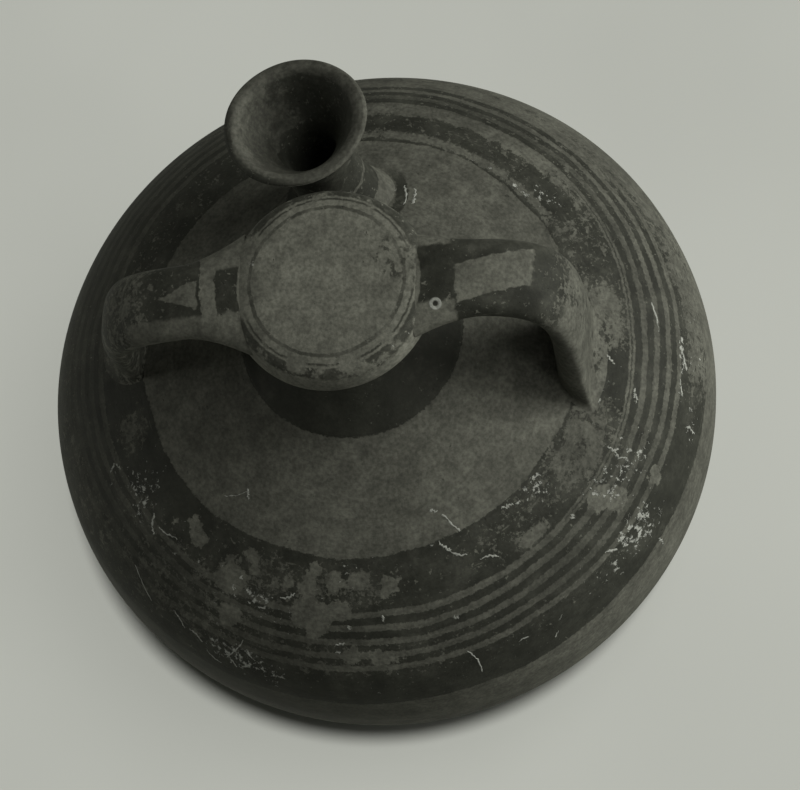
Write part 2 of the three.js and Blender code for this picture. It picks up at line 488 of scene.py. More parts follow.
class Finish(Nodes):
    """The node tree of one material, which reads the piece's own coordinates in millimetres."""

    def __init__(self, name: str) -> None:
        """Starts the material.

        Args:
            name: The material's name.
        """
        self.material = bpy.data.materials.new(name)
        self.material.use_nodes = True
        super().__init__(self.material.node_tree)
        self.shader = self.tree.nodes["Principled BSDF"]
        place = self.add("ShaderNodeTexCoord").outputs["Object"]
        self.place = self.vector("SCALE", place, Scale=1 / MM)
        parts = self.add("ShaderNodeSeparateXYZ", Vector=self.place)
        self.x, self.y, self.z = parts.outputs

    def vector(self, operation: str, *values: Value, **inputs: Value) -> Socket:
        """Works out a vector, or its length, from others.

        Args:
            operation: What to work out.
            *values: The vectors.
            **inputs: Other inputs, by name.

        Returns:
            The result.
        """
        node = self.add("ShaderNodeVectorMath", {"operation": operation}, **inputs)
        for target, value in zip(node.inputs, values):
            self.feed(target, value)
        wanted = 1 if operation in ("LENGTH", "DISTANCE", "DOT_PRODUCT") else 0
        return node.outputs[wanted]

    def away(self, place: Triple) -> Socket:
        """Gives the distance from a place."""
        return self.vector("DISTANCE", self.place, place)

    def level(self) -> Socket:
        """Gives the way from the jar's axis, without the height."""
        return self.vector("MULTIPLY", self.place, (1, 1, 0))

    def radius(self) -> Socket:
        """Gives the distance from the jar's axis."""
        return self.vector("LENGTH", self.level())

    def named(self, name: str) -> Socket:
        """Reads a number that the mesh holds for each of its points."""
        return self.add("ShaderNodeAttribute", {"attribute_name": name}).outputs["Fac"]

    def noise(
        self, size: float, seed: float, detail: float = 3, place: Value | None = None, rough: float = 0.55
    ) -> Socket:
        """Spreads cloudy noise between 0 and 1.

        Args:
            size: The width of its clouds.
            seed: What tells one noise from another.
            detail: How many finer layers it has.
            place: Where it is read, if not at the piece's own coordinates.
            rough: How strong the finer layers are.

        Returns:
            The noise.
        """
        inputs = {"W": seed, "Scale": 1 / size, "Detail": detail, "Roughness": rough}
        place = place or self.place
        return self.add("ShaderNodeTexNoise", {"noise_dimensions": "4D"}, Vector=place, **inputs).outputs[0]

    def stray(self, reach: float, size: float, seed: float, detail: float, rough: float = 0.55) -> Socket:
        """Spreads cloudy noise to both sides of 0.

        Args:
            reach: How far it goes to either side.
            size: The width of its clouds.
            seed: What tells one noise from another.
            detail: How many finer layers it has.
            rough: How strong the finer layers are.

        Returns:
            The noise.
        """
        return self.rise(self.noise(size, seed, detail, rough=rough), 0.2, 0.8, -reach, reach)

    def stretched(self, flat: float, tall: float) -> Socket:
        """Gives coordinates that draw noise out along the wheel's turning."""
        return self.add("ShaderNodeMapping", Vector=self.place, Scale=(flat, flat, tall)).outputs[0]

    def wheel_marks(self, slope: Socket, fine: float, long: float) -> Socket:
        """Spreads noise that is drawn out along the wheel's turning.

        Args:
            slope: How far down and out along the shoulder a point lies.
            fine: The width of the marks.
            long: Their length where the jar is wide.

        Returns:
            The noise.
        """
        spread = self.vector("SCALE", self.vector("NORMALIZE", self.level()), Scale=BODY.belly[0] / long)
        step = self.add("ShaderNodeCombineXYZ", Z=self.math("DIVIDE", slope, fine)).outputs[0]
        return self.noise(1, 14, 4, self.vector("ADD", spread, step))

    def mixed(self, factor: Value, first: Value, second: Value) -> Socket:
        """Mixes two colours.

        Args:
            factor: The share of the second.
            first: One colour.
            second: The other colour.

        Returns:
            The mixed colour.
        """
        node = self.add("ShaderNodeMix", {"data_type": "RGBA"})
        for index, value in ((0, factor), (6, first), (7, second)):
            self.feed(node.inputs[index], value)
        return node.outputs[2]

    def tinted(self, colour: Triple, share: Value) -> Socket:
        """Multiplies a colour by a number."""
        plain = self.add("ShaderNodeCombineXYZ", X=colour[0], Y=colour[1], Z=colour[2]).outputs[0]
        return self.vector("SCALE", plain, Scale=share)

    def coat(self, colour: Socket, rough: Value, gloss: float) -> None:
        """Gives the shader its colour, roughness and level of reflection."""
        self.feed(self.shader.inputs["Base Color"], colour)
        self.feed(self.shader.inputs["Roughness"], rough)
        self.shader.inputs["Specular IOR Level"].default_value = gloss

    def press(self, height: Value, depth: float) -> None:
        """Presses a relief of some depth into the surface."""
        bump = self.add("ShaderNodeBump", Strength=1.0, Distance=depth * MM, Height=height)
        self.feed(self.shader.inputs["Normal"], bump.outputs[0])


@dataclass(frozen=True)
class Clay:
    """Fired clay with dark slip, and the way both have worn.

    Attributes:
        bare: The colour of the bare clay.
        slip: The colour of the slip.
        lime: The colour of the lime that clings to it.
        bare_rough: The roughness of the bare clay.
        slip_rough: The roughness of the slip.
        gloss: The level of the shader's reflection.
        grain_depth: How deep the grain is pressed in.
    """

    bare: Triple = (0.0915, 0.0925, 0.0735)
    slip: Triple = (0.0280, 0.0290, 0.0222)
    lime: Triple = (0.36, 0.37, 0.32)
    bare_rough: float = 0.78
    slip_rough: float = 0.66
    gloss: float = 0.08
    grain_depth: float = 0.2

    def dress(
        self,
        finish: Finish,
        paint: Value,
        wear: Value,
        lime: Value,
        wheel: Value | None = None,
        pale: Value = 1.0,
    ) -> Material:
        """Coats a piece.

        Args:
            finish: The material to fill.
            paint: Where slip colour goes, from 0 over thinly to 1: slip that was brushed on, and in places
                painted shade.
            wear: How far the slip has worn away, from 0 to 1.
            lime: Where lime clings.
            wheel: The marks that turning has left, if not those of a level wheel.
            pale: What the bare clay's colour is multiplied by: paler fresh clay in flakes, and in places
                painted light and shade.

        Returns:
            The material.
        """
        wheel = wheel or finish.noise(1, 2, 4, finish.stretched(0.05, 0.75))
        grain = finish.noise(0.9, 3, 5)
        patches = finish.noise(5, 4, 5, rough=0.62)
        pits = finish.rise(finish.noise(1.6, 5, 2), 0.70, 0.76)
        tone = finish.times(
            finish.rise(finish.noise(26, 1, 3), 0.3, 0.7, 0.84, 1.14),
            finish.rise(wheel, 0.3, 0.7, 0.92, 1.08),
            finish.rise(grain, 0.28, 0.72, 0.72, 1.28),
            finish.rise(patches, 0.3, 0.7, 0.78, 1.22),
            finish.rise(pits, 0, 1, 1, 0.62),
        )
        covered = finish.both(paint, self.kept(finish, wheel, wear))
        slip_tone = finish.rise(finish.noise(7, 7, 5, rough=0.6), 0.3, 0.7, 0.80, 1.24)
        slip = finish.tinted(self.slip, finish.times(slip_tone, finish.rise(tone, 0.7, 1.3, 0.85, 1.15)))
        bare = finish.tinted(self.bare, finish.times(tone, pale))
        crumbs = finish.tinted(self.lime, finish.rise(grain, 0.3, 0.7, 0.7, 1.15))
        colour = finish.mixed(lime, finish.mixed(covered, bare, slip), crumbs)
        rough = finish.rise(covered, 0, 1, self.bare_rough, self.slip_rough)
        finish.coat(colour, finish.plus(rough, finish.rise(grain, 0.2, 0.8, -0.06, 0.08)), self.gloss)

        relief = ((grain, 0.5), (wheel, 0.45), (covered, 0.2), (patches, 0.8), (pits, -0.6), (lime, 0.5))
        finish.press(finish.plus(*(finish.times(mask, share) for mask, share in relief)), self.grain_depth)
        return finish.material

    def kept(self, finish: Finish, wheel: Value, wear: Value) -> Value:
        """Marks where slip has not chipped, gone in specks or been rubbed off along the turning.

        Args:
            finish: The material that the slip belongs to.
            wheel: The marks that turning has left.
            wear: How far the slip has worn away, from 0 to 1.

        Returns:
            How much of it is left, from 0 to 1.
        """
        ragged = finish.noise(3.0, 6, 10, rough=0.76)
        specks = finish.noise(1.3, 9, 6, rough=0.6)
        lost = []
        for mask, fresh, worn, start, end, most in (
            (ragged, 0.68, 0.38, -0.01, 0.025, 1),
            (specks, 0.68, 0.46, -0.01, 0.03, 1),
            (wheel, 0.76, 0.52, -0.02, 0.05, 0.7),
        ):
            above = finish.math("SUBTRACT", mask, finish.ramp(wear, 0, 1, fresh, worn))
            lost.append(finish.rise(above, start, end, 0, most))
        thin = finish.plus(finish.noise(8, 8, 5, rough=0.62), finish.times(wear, 0.22))
        return finish.both(finish.without(finish.either(*lost)), finish.rise(thin, 0.50, 0.76, 1, 0.72))

    def crust(self, finish: Finish, amount: Value = 0.0) -> Socket:
        """Marks crumbs of lime, thick in some places and rare in others.

        Args:
            finish: The material that they belong to.
            amount: How much more lime clings than on the rest, from 0 to 1.

        Returns:
            The mask of the lime.
        """
        where = finish.rise(finish.noise(30, 11, 2), 0.5, 0.68, 0, 0.13)
        more = finish.times(finish.math("POWER", amount, 0.5), 0.25)
        return finish.rise(finish.plus(finish.noise(1.5, 12, 6, rough=0.7), where, more), 0.79, 0.83)

    def crumbs_at(self, finish: Finish, spots: tuple["Spot", ...]) -> Socket:
        """Marks crumbs of lime in a few chosen places, and rare ones elsewhere."""
        near = (finish.rise(finish.away(spot.place), spot.reach, 0) for spot in spots)
        return self.crust(finish, finish.either(*near))

    def lime_finish(self) -> Material:
        """Makes the finish of the threads and blobs of lime that stand on the clay.

        Returns:
            The material.
        """
        finish = Finish("lime")
        grain = finish.noise(0.6, 13, 4)
        finish.coat(finish.tinted(self.lime, finish.rise(grain, 0.25, 0.75, 0.62, 1.1)), 0.9, self.gloss)
        finish.press(grain, self.grain_depth)
        return finish.material


@dataclass(frozen=True)
class Spot:
    """A small place on a piece, with how far it reaches."""

    place: Triple
    reach: float


@dataclass(frozen=True)
class SpoutAxis:
    """The axis of the spout, which bends from the slope of the shoulder up to the mouth.

    Attributes:
        root: Where it leaves the shoulder.
        bend: The handle of its bend.
        mouth: The middle of the mouth.
        bore: The radius of the bore round it.
    """

    root: Triple = (-4.7, 38.3, 125.6)
    bend: Triple = (-11.6, 43.6, 145)
    mouth: Triple = (-12.2, 45.5, 161)
    bore: float = 6.5

    @cached_property
    def line(self) -> Curve:
        """The axis itself."""
        return Curve((self.root, self.bend, self.mouth))

    @property
    def start(self) -> Vector:
        """The direction in which it leaves the shoulder."""
        return (Vector(self.bend) - Vector(self.root)).normalized()


CLAY = Clay()
SPOUT = SpoutAxis()


@dataclass(frozen=True)
class Stripe:
    """A painted stripe between two limits of the shoulder's slope, from the neck outwards.

    The slope of a point is how far it lies down and out along the shoulder, measured at 45 degrees.
    """

    start: float
    end: float

    def mark(self, finish: Finish, slope: Socket) -> Socket:
        """Marks the stripe."""
        return finish.stripe(slope, self.start, self.end, 0.16)


@dataclass(frozen=True)
class BodyPaint:
    """The painted bands of the body.

    Attributes:
        inner_band: The band at the turn of the shoulder.
        outer_band: The wide band above the belly.
        lines: How many dark lines lie between the two bands.
        line_share: How much of the pitch of the lines is painted.
        hairline: The fine line in the gap beside the inner band.
        hairline_start: Between which distances along X it fades in.
        neck_line: The thin line round the seat of the neck, in radius.
        low_band: The band below the belly, in height.
        low_line: The line above that band, in height.
        foot_paint: The painted foot, in height.
        spout_ring: The ring round the spout, in distance from the spout's axis.
        dry_side: Between which distances along Y that ring fades out.
        stain_and_shade: How strongly slip colour darkens the gaps: thin slip where it was wiped, and painted
            shade on the side away from the lamps.
    """

    inner_band: Stripe = Stripe(-43.2, -29.6)
    outer_band: Stripe = Stripe(-12.2, 0.8)
    lines: int = 4
    line_share: float = 0.55
    hairline: Stripe = Stripe(-28.95, -28.6)
    hairline_start: Pair = (45, 62)
    neck_line: Pair = (28.4, 28.9)
    low_band: Pair = (30, 38)
    low_line: Pair = (41, 42.4)
    foot_paint: Pair = (-1, 15)
    spout_ring: Pair = (13.0, 15.8)
    dry_side: Pair = (49, 42)
    stain_and_shade: float = 0.75

    def line_stripes(self) -> list[Stripe]:
        """Spreads the dark lines evenly between the two bands.

        Returns:
            The stripes.
        """
        gaps = self.outer_band.start - self.inner_band.end
        pitch = gaps / (self.lines + 1 - self.line_share)
        ends = [self.inner_band.end + pitch * (i + 1) for i in range(self.lines)]
        return [Stripe(end - pitch * self.line_share, end) for end in ends]

    def mark(self, finish: Finish, slope: Socket) -> Socket:
        """Marks where slip was brushed on the body, and where slip colour darkens the gaps, partly as painted
        shade.

        Args:
            finish: The body's material.
            slope: The slope of the shoulder.

        Returns:
            The mask of the paint.
        """
        fray = finish.stray(0.45, 1.1, 22, 6, rough=0.7)
        stray = finish.plus(finish.stray(0.7, 24, 21, 2), fray)
        slope = finish.plus(slope, stray)
        height = finish.plus(finish.z, stray)
        stripes = (self.inner_band, self.outer_band, *self.line_stripes())
        masks = [stripe.mark(finish, slope) for stripe in stripes]
        hairline = self.hairline.mark(finish, slope)
        masks.append(finish.both(hairline, finish.rise(finish.x, *self.hairline_start)))
        masks.append(finish.stripe(finish.plus(finish.radius(), fray), *self.neck_line))
        low = (self.low_band, self.low_line, self.foot_paint)
        masks += [finish.stripe(height, *limits) for limits in low]
        masks.append(self.mark_spout_ring(finish, stray))
        # Slip colour in the gaps, read from the mesh: partly thin slip stains, partly painted shade on the
        # left and lower left, away from the lamps.
        masks.append(finish.times(finish.named("stain_and_shade"), self.stain_and_shade))
        return finish.either(*masks)

    def mark_spout_ring(self, finish: Finish, stray: Value) -> Value:
        """Marks the ring round the spout, which fades to the side where the brush ran dry.

        Args:
            finish: The body's material.
            stray: How far painted edges stray.

        Returns:
            The mask of the ring.
        """
        way = finish.vector("SUBTRACT", finish.place, SPOUT.root)
        arm = finish.vector("CROSS_PRODUCT", way, tuple(SPOUT.start))
        distance = finish.plus(finish.vector("LENGTH", arm), stray)
        upper = finish.rise(finish.z, BODY.belly[1], BODY.belly[1] + 1)
        dry = finish.rise(finish.noise(5, 23, 5, rough=0.65), 0.62, 0.50, 0.2, 1)
        near = finish.rise(finish.y, *self.dry_side, 0.25, 1)
        return finish.both(upper, finish.stripe(distance, *self.spout_ring, 0.3), dry, near)


@dataclass(frozen=True)
class Zone:
    """A stretch of the shoulder that differs from the rest in wear, in slip stains and painted shade, or in
    lime.

    Attributes:
        azimuth: Its middle, in degrees from +X towards +Y.
        turn: Half its length, in degrees.
        slope: The slope of its middle.
        reach: Half its width.
        amount: How strongly it differs.
    """

    azimuth: float
    turn: float
    slope: float
    reach: float
    amount: float

    def strength(self, azimuths: np.ndarray, slopes: np.ndarray) -> np.ndarray:
        """Finds how strongly the zone acts at each point."""
        off = (azimuths - self.azimuth + 180) % 360 - 180
        return self.amount * np.exp(-((off / self.turn) ** 4) - ((slopes - self.slope) / self.reach) ** 4)


@dataclass(frozen=True)
class Flake:
    """A place where the slip has come off the shoulder.

    Attributes:
        azimuth: Where it is, in degrees.
        radius: How far it is from the jar's axis.
        size: Its rough radius.
    """

    azimuth: float
    radius: float
    size: float


@dataclass(frozen=True)
class Thread:
    """A thread or blob of lime on the shoulder.

    Attributes:
        start: Its azimuth in degrees and its distance from the jar's axis, where it starts.
        end: The same, where it ends.
        width: How wide it is.
    """

    start: Pair
    end: Pair
    width: float


def listed(kind: type, *rows: tuple) -> tuple:
    """Makes an item of one kind from each row of its values."""
    return tuple(kind(*row) for row in rows)


@dataclass(frozen=True)
class Ageing:
    """How the body has aged.

    Attributes:
        wear: Where the slip has worn.
        stain_and_shade: Where slip colour darkens the gaps: thin slip stains, and painted shade on the side
            away from the lamps.
        crust: Where more lime clings.
        flakes: Where slip has come off.
        threads: Where lime has dried in threads and blobs.
    """

    wear: tuple[Zone, ...] = listed(
        Zone,
        (66, 47, -5, 7.8, 0.95), (85, 46, -15, 2.5, 0.75), (70, 40, -22, 7, 0.22),
        (68, 38, -41.1, 1.5, 0.80), (72, 36, -30.8, 2.1, 0.80), (9, 9, -36, 6.8, 0.72),
        (28, 9, -36, 6.8, 0.32), (72, 34, -36, 4, 0.30), (338, 12, -36, 7.5, 0.66),
        (314, 4, -31.5, 1.8, 0.70), (312, 16, -37, 6, 0.38), (8, 15, -4, 7, 0.58),
        (318, 20, -10, 4, 0.16), (262, 24, -36, 6, 0.45), (232, 24, -27, 6, 0.36),
        (201, 5, -36, 6.0, 0.50), (5, 60, -21, 8, 0.14), (262, 36, -15, 7, 0.30),
        (205, 40, -10, 10, 0.34), (150, 40, -36, 8, 0.25),
    )
    # Slip colour in the gaps. The zones from the upper left round to the lower left, at azimuths 140 to 232
    # and away from the lamps, are partly painted shade. The one below the outer band on the lower left is
    # painted shade. The others are stains.
    stain_and_shade: tuple[Zone, ...] = listed(
        Zone,
        (203, 52, -13, 17, 0.95), (232, 44, 8, 8, 0.75), (62, 50, -25.6, 2.2, 0.75),
        (140, 45, -20, 13, 0.70), (328, 22, -20, 9, 0.60), (290, 30, -22, 8, 0.20),
    )
    crust: tuple[Zone, ...] = listed(
        Zone,
        (42, 4, -37.2, 2.6, 0.85), (52, 15, -41.4, 1.1, 0.60), (34, 18, -34, 5, 0.30),
        (70, 24, -31, 2.0, 0.35), (352, 10, -37, 5, 0.55), (1, 8, -12, 1.2, 0.95),
        (8, 16, -5, 5, 0.45), (334, 8, -24, 6, 0.34), (326, 11, -8, 5, 0.30), (322, 28, -22, 20, 0.16),
        (318, 8, -40, 3, 0.50), (350, 4, -5, 3.5, 0.50), (248, 7, -9, 4, 0.40),
        (225, 15, -36, 8, 0.32), (262, 30, -36, 7, 0.24), (235, 28, -24, 9, 0.26),
        (280, 50, -8, 6, 0.18),
    )
    flakes: tuple[Flake, ...] = listed(
        Flake,
        (230, 62.5, 2), (232, 65, 2.5), (242, 65, 1.5), (246, 61.5, 2), (243, 68.5, 4.5),
        (262, 60.5, 2), (261, 65, 3), (267, 62.5, 2.5), (273, 62.5, 2.5), (280, 64, 2.5),
        (278, 66.5, 1.5), (261, 70.5, 4), (263, 71, 4.5), (263, 74, 2.5), (268, 69.5, 3),
        (245, 76.5, 3.5), (270, 79, 2.5), (275, 79.5, 2.5), (277, 80, 2), (339, 82, 2.5),
        (329, 74, 3.5), (331, 77, 3.5), (328, 89, 2), (225, 66, 1), (248, 64, 1.5), (256, 65, 1.5),
        (251, 60, 1),
    )
    threads: tuple[Thread, ...] = listed(
        Thread,
        ((295, 50), (297, 51), 0.8), ((298, 52), (300, 57.5), 0.6), ((294, 57.5), (296, 60.5), 0.8),
        ((295, 59.5), (299, 63), 0.6), ((301, 65.5), (305, 67), 0.6), ((292, 57.5), (292, 58), 0.8),
        ((312, 58.5), (315, 59.5), 0.8), ((323, 71), (322, 71.5), 1.1), ((291, 74.5), (292, 75), 1),
        ((291, 82), (292, 86.5), 0.4), ((300, 84.5), (302, 84.5), 0.4), ((308, 85), (309, 84.5), 0.3),
        ((307, 86.5), (306, 87), 0.4), ((339, 69.5), (338, 73), 0.6), ((338, 73), (339, 75), 0.4),
        ((322, 81.5), (324, 83), 0.6), ((331, 88), (331, 89), 0.6), ((337, 74), (335, 75), 0.4),
        ((267, 77), (269, 76.5), 0.6), ((267, 78.5), (268, 78.5), 0.6),
        ((270, 72.5), (270, 73.5), 1.1), ((277, 70.5), (277, 72), 0.7),
        ((246, 85.5), (249, 80.5), 0.4), ((247, 85.5), (248, 86.5), 0.4),
        ((248, 83.5), (248, 85), 0.4), ((250, 82), (251, 83.5), 0.7), ((223, 81), (229, 84.5), 0.3),
        ((234, 82.5), (237, 84.5), 0.4), ((238, 84), (241, 85), 0.6), ((242, 86), (245, 87), 0.4),
        ((206, 73.5), (205, 71.5), 0.6), ((205, 71.5), (207, 70.5), 0.6),
        ((220, 68.5), (223, 72), 0.7), ((223, 70), (228, 68.5), 0.6), ((237, 47.5), (239, 49.5), 0.6),
        ((232, 52.5), (237, 48.5), 0.3), ((255, 68.5), (258, 66.5), 0.7), ((4, 82), (0, 83.5), 0.8),
        ((358, 82), (355, 83), 0.6), ((359, 64), (357, 66), 0.7), ((353, 71.5), (351, 72), 0.8),
        ((352, 72), (350, 72.5), 0.6), ((76, 43.5), (73, 37.5), 0.6), ((72, 43.5), (70, 38.5), 0.8),
        ((85, 41.5), (78, 41.5), 0.4), ((12, 76), (6, 77), 0.6), ((350, 85), (350, 87), 0.8),
    )


def body_finish() -> Material:
    """Makes the finish of the body: worn bands and lines of slip on bare clay.

    Returns:
        The material.
    """
    finish = Finish("banded_clay")
    slope = finish.times(finish.math("SUBTRACT", finish.radius(), finish.z), SLANT)
    flake = finish.plus(finish.named("flake"), finish.stray(1.5, 2.2, 31, 6, rough=0.65))
    paint = finish.both(BodyPaint().mark(finish, slope), finish.rise(flake, -0.15, 0.25))
    wear = finish.plus(finish.named("wear"), 0.1)
    crust = CLAY.crust(finish, finish.named("crust"))
    wheel = finish.wheel_marks(slope, 0.8, 9)
    return CLAY.dress(finish, paint, wear, crust, wheel, finish.rise(flake, -0.4, 0.3, 1.15, 1))


def plain_finish() -> Material:
    """Makes the finish of the foot ring: slip, worn through on its edges."""
    finish = Finish("plain_clay")
    return CLAY.dress(finish, finish.rise(finish.z, 0.8, 2.2), 0.35, CLAY.crust(finish))


def neck_finish() -> Material:
    """Makes the finish of the false neck: slip all over, down to its edge."""
    finish = Finish("slipped_clay")
    return CLAY.dress(finish, 1.0, 0.1, CLAY.crust(finish))


@dataclass(frozen=True)
class DiscPaint:
    """The rings on the disc.

    Attributes:
        ring: The thin ring on its top.
        edge_rings: The worn rings near its edge.
        blot: The dark blots beside the right strap.
        joint: Where the right strap's slip starts on the disc's edge, and where that is full.
        wedge: The middle of the widest part of the outer ring.
        wedge_core: Up to which distance from that middle it is whole.
        blot_fade: Over what distance the blots fade.
        strap_start: Between which places along X the right strap's slip starts.
        strap_middle: The middle of that strap, along Y.
        strap_sides: Between which distances from its middle that slip ends.
        left_gap: Between which places along X the edge rings end at the left strap.
        left_sides: Between which distances along Y they go on beside it.
        lime: Where lime clings.
        pale: What the bare clay's colour is multiplied by; partly a paler clay, partly painted light for the
            light on the disc's top.
    """

    ring: Pair = (18.7, 19.6)
    edge_rings: tuple[Pair, ...] = ((21.2, 21.7), (22.3, 24.6))
    blot: Spot = Spot((16.5, 6.5, 169), 7.5)
    joint: Pair = (22.8, 23.6)
    wedge: Spot = Spot((18.5, 15.5, 167), 9)
    wedge_core: float = 4
    blot_fade: float = 3
    strap_start: Pair = (14, 16)
    strap_middle: float = 1
    strap_sides: Pair = (9.5, 8)
    left_gap: Pair = (-16, -14)
    left_sides: Pair = (8, 11)
    lime: tuple[Spot, ...] = (
        Spot((-13, 3, 169.3), 2.6),
        Spot((-19.5, 4.5, 169), 2.0),
        Spot((-24, 5, 167), 2.2),
        Spot((17.5, -15.5, 168), 2.4),
        Spot((21, -12, 167), 1.8),
        Spot((21, 0, 169), 1.4),
    )
    # Paler bare clay on the disc: partly painted light on its top.
    pale: float = 1.48

    def mark(self, finish: Finish) -> Socket:
        """Marks the rings and the blots.

        Args:
            finish: The disc's material.

        Returns:
            The mask of the paint.
        """
        stray = finish.plus(finish.stray(0.3, 12, 41, 2), finish.stray(0.2, 1.2, 42, 4))
        radius = finish.plus(finish.radius(), stray)
        faded = finish.rise(finish.noise(9, 45, 4), 0.35, 0.6, 0.3, 0.8)
        ring = finish.both(finish.stripe(radius, *self.ring), faded)

        in_wedge = finish.rise(finish.away(self.wedge.place), self.wedge.reach, self.wedge_core)
        worn = finish.either(finish.rise(finish.noise(6, 43, 6, rough=0.65), 0.42, 0.50), in_wedge)
        aside = finish.math("ABSOLUTE", finish.y)
        right_of_left = finish.rise(finish.x, *self.left_gap)
        off_left = finish.either(right_of_left, finish.rise(aside, *self.left_sides))
        edge = finish.either(*(finish.stripe(radius, *limits, 0.2) for limits in self.edge_rings))

        broken = finish.rise(finish.noise(2.6, 44, 5), 0.50, 0.58)
        whole = self.blot.reach - self.blot_fade
        blots = finish.rise(finish.away(self.blot.place), self.blot.reach, whole)

        off_strap = finish.math("ABSOLUTE", finish.math("SUBTRACT", finish.y, self.strap_middle))
        right = finish.rise(finish.x, *self.strap_start)
        beside_strap = finish.both(right, finish.rise(off_strap, *self.strap_sides))
        joint = finish.both(finish.either(beside_strap, in_wedge), finish.rise(radius, *self.joint))
        edge = finish.both(edge, worn, off_left, 0.9)
        return finish.either(ring, edge, finish.both(blots, broken, 0.8), joint)


def disc_finish() -> Material:
    """Makes the finish of the disc: bare clay with thin rings of slip."""
    finish = Finish("disc_clay")
    paint = DiscPaint()
    return CLAY.dress(finish, paint.mark(finish), 0.3, CLAY.crumbs_at(finish, paint.lime), pale=paint.pale)


@dataclass(frozen=True)
class BarePatch:
    """A tapering patch left bare on the outer face of a strap.

    Attributes:
        reach: Where it starts and ends, along the strap.
        low: Its near edge at the start and at the end, across the strap.
        high: Its far edge at the start and at the end.
    """

    reach: Pair
    low: Pair
    high: Pair

    def mark(self, finish: Finish, along: Socket, across: Socket) -> Socket:
        """Marks the patch.

        Args:
            finish: The strap's material.
            along: The distance along the strap.
            across: The distance across it.

        Returns:
            The mask of the patch.
        """
        edges = [finish.ramp(along, *self.reach, *edge) for edge in (self.low, self.high)]
        above = finish.rise(finish.math("SUBTRACT", across, edges[0]), -0.2, 0.2)
        below = finish.rise(finish.math("SUBTRACT", edges[1], across), -0.2, 0.2)
        return finish.both(finish.stripe(along, *self.reach, 0.3), above, below)


@dataclass(frozen=True)
class StrapPaint:
    """The paint on one strap, in distances along it from the disc and across it.

    Attributes:
        start: The distance from the jar's axis at which the slip starts, next to the disc.
        collar: Where along the strap the slip beside the disc ends.
        collar_sides: The limits of that slip across the strap.
        gaps: The bare strips that go round it.
        patch: The bare patch on its outer face.
        bare_and_lit_edge: The near edge is bare beyond this distance across; on the right strap's root this
            bare flank is painted light.
        bare_and_lit_reach: Where along the strap that bare edge starts and ends.
        fresh: How far along it is less worn.
        wear: How worn it is beyond that.
        pit: A pit with a ring of lime round it, where there is one; its dark middle is painted shade of the
            hole.
        outer_face: Between which heights of the section the outer face starts; its middle is at 1.
        far_edge: Between which distances across the far edge, bare in patches, starts.
        far_edge_lift: The limits of that edge, in heights of the section.
    """

    start: float
    collar: float
    collar_sides: Pair
    gaps: tuple[Pair, ...]
    patch: BarePatch
    bare_and_lit_edge: float
    bare_and_lit_reach: Pair
    fresh: float
    wear: float
    pit: Spot | None = None
    outer_face: Pair = (0.05, 0.3)
    far_edge: Pair = (5, 7)
    far_edge_lift: Pair = (-0.5, 0.35)

    def mark(self, finish: Finish) -> Socket:
        """Marks where slip was brushed on the strap.

        Args:
            finish: The strap's material.

        Returns:
            The mask of the paint.
        """
        stray = finish.stray(0.6, 2.2, 51, 5)
        along = finish.plus(finish.named("along"), stray)
        across = finish.plus(finish.named("across"), stray)
        lift = finish.named("lift")
        bare = [finish.stripe(along, *gap) for gap in self.gaps]
        outer = finish.rise(lift, *self.outer_face)
        bare.append(finish.both(outer, self.patch.mark(finish, along, across)))
        beside = finish.without(finish.stripe(across, *self.collar_sides, 0.5))
        bare.append(finish.both(finish.rise(along, self.collar + 0.5, self.collar - 0.5), beside, 0.85))
        far = finish.rise(across, *self.far_edge)
        rim = finish.both(finish.stripe(lift, *self.far_edge_lift, 0.2), far)
        bare.append(finish.both(rim, finish.rise(finish.noise(4, 52, 5), 0.40, 0.58, 0.1, 0.8)))
        # Bare clay on the near edge: left bare of slip on the left strap, and painted light on the near flank
        # of the right strap's root.
        near = finish.rise(across, self.bare_and_lit_edge + 0.6, self.bare_and_lit_edge - 0.6, 0, 0.8)
        bare.append(finish.both(near, finish.stripe(along, *self.bare_and_lit_reach, 1.5)))
        radius = finish.plus(finish.radius(), finish.times(stray, 0.4))
        painted = finish.rise(radius, self.start - 0.2, self.start + 0.2)
        return finish.both(painted, finish.without(finish.either(*bare)))


def strap_finish(name: str, paint: StrapPaint) -> Material:
    """Makes the finish of a strap.

    Args:
        name: The material's name.
        paint: What is painted on it.

    Returns:
        The material.
    """
    finish = Finish(name)
    along = finish.named("along")
    wear = finish.rise(along, paint.fresh - 4, paint.fresh + 6, 0.25, paint.wear)
    # The bare clay is up to 1.4 times paler near the disc, fading out 40 mm down: painted light on the
    # strap's upper part, lit like the disc's top.
    pale = finish.ramp(along, 8, 40, 1.4, 1.0)
    lime = CLAY.crust(finish)
    if paint.pit:
        off = finish.away(paint.pit.place)
        lime = finish.either(lime, finish.stripe(off, paint.pit.reach / 2, paint.pit.reach, 0.2))
        # The pit's dark middle is painted shade of the hole.
        pale = finish.both(pale, finish.rise(off, paint.pit.reach / 2, paint.pit.reach * 0.35, 1, 0.2))
    return CLAY.dress(finish, paint.mark(finish), wear, lime, pale=pale)


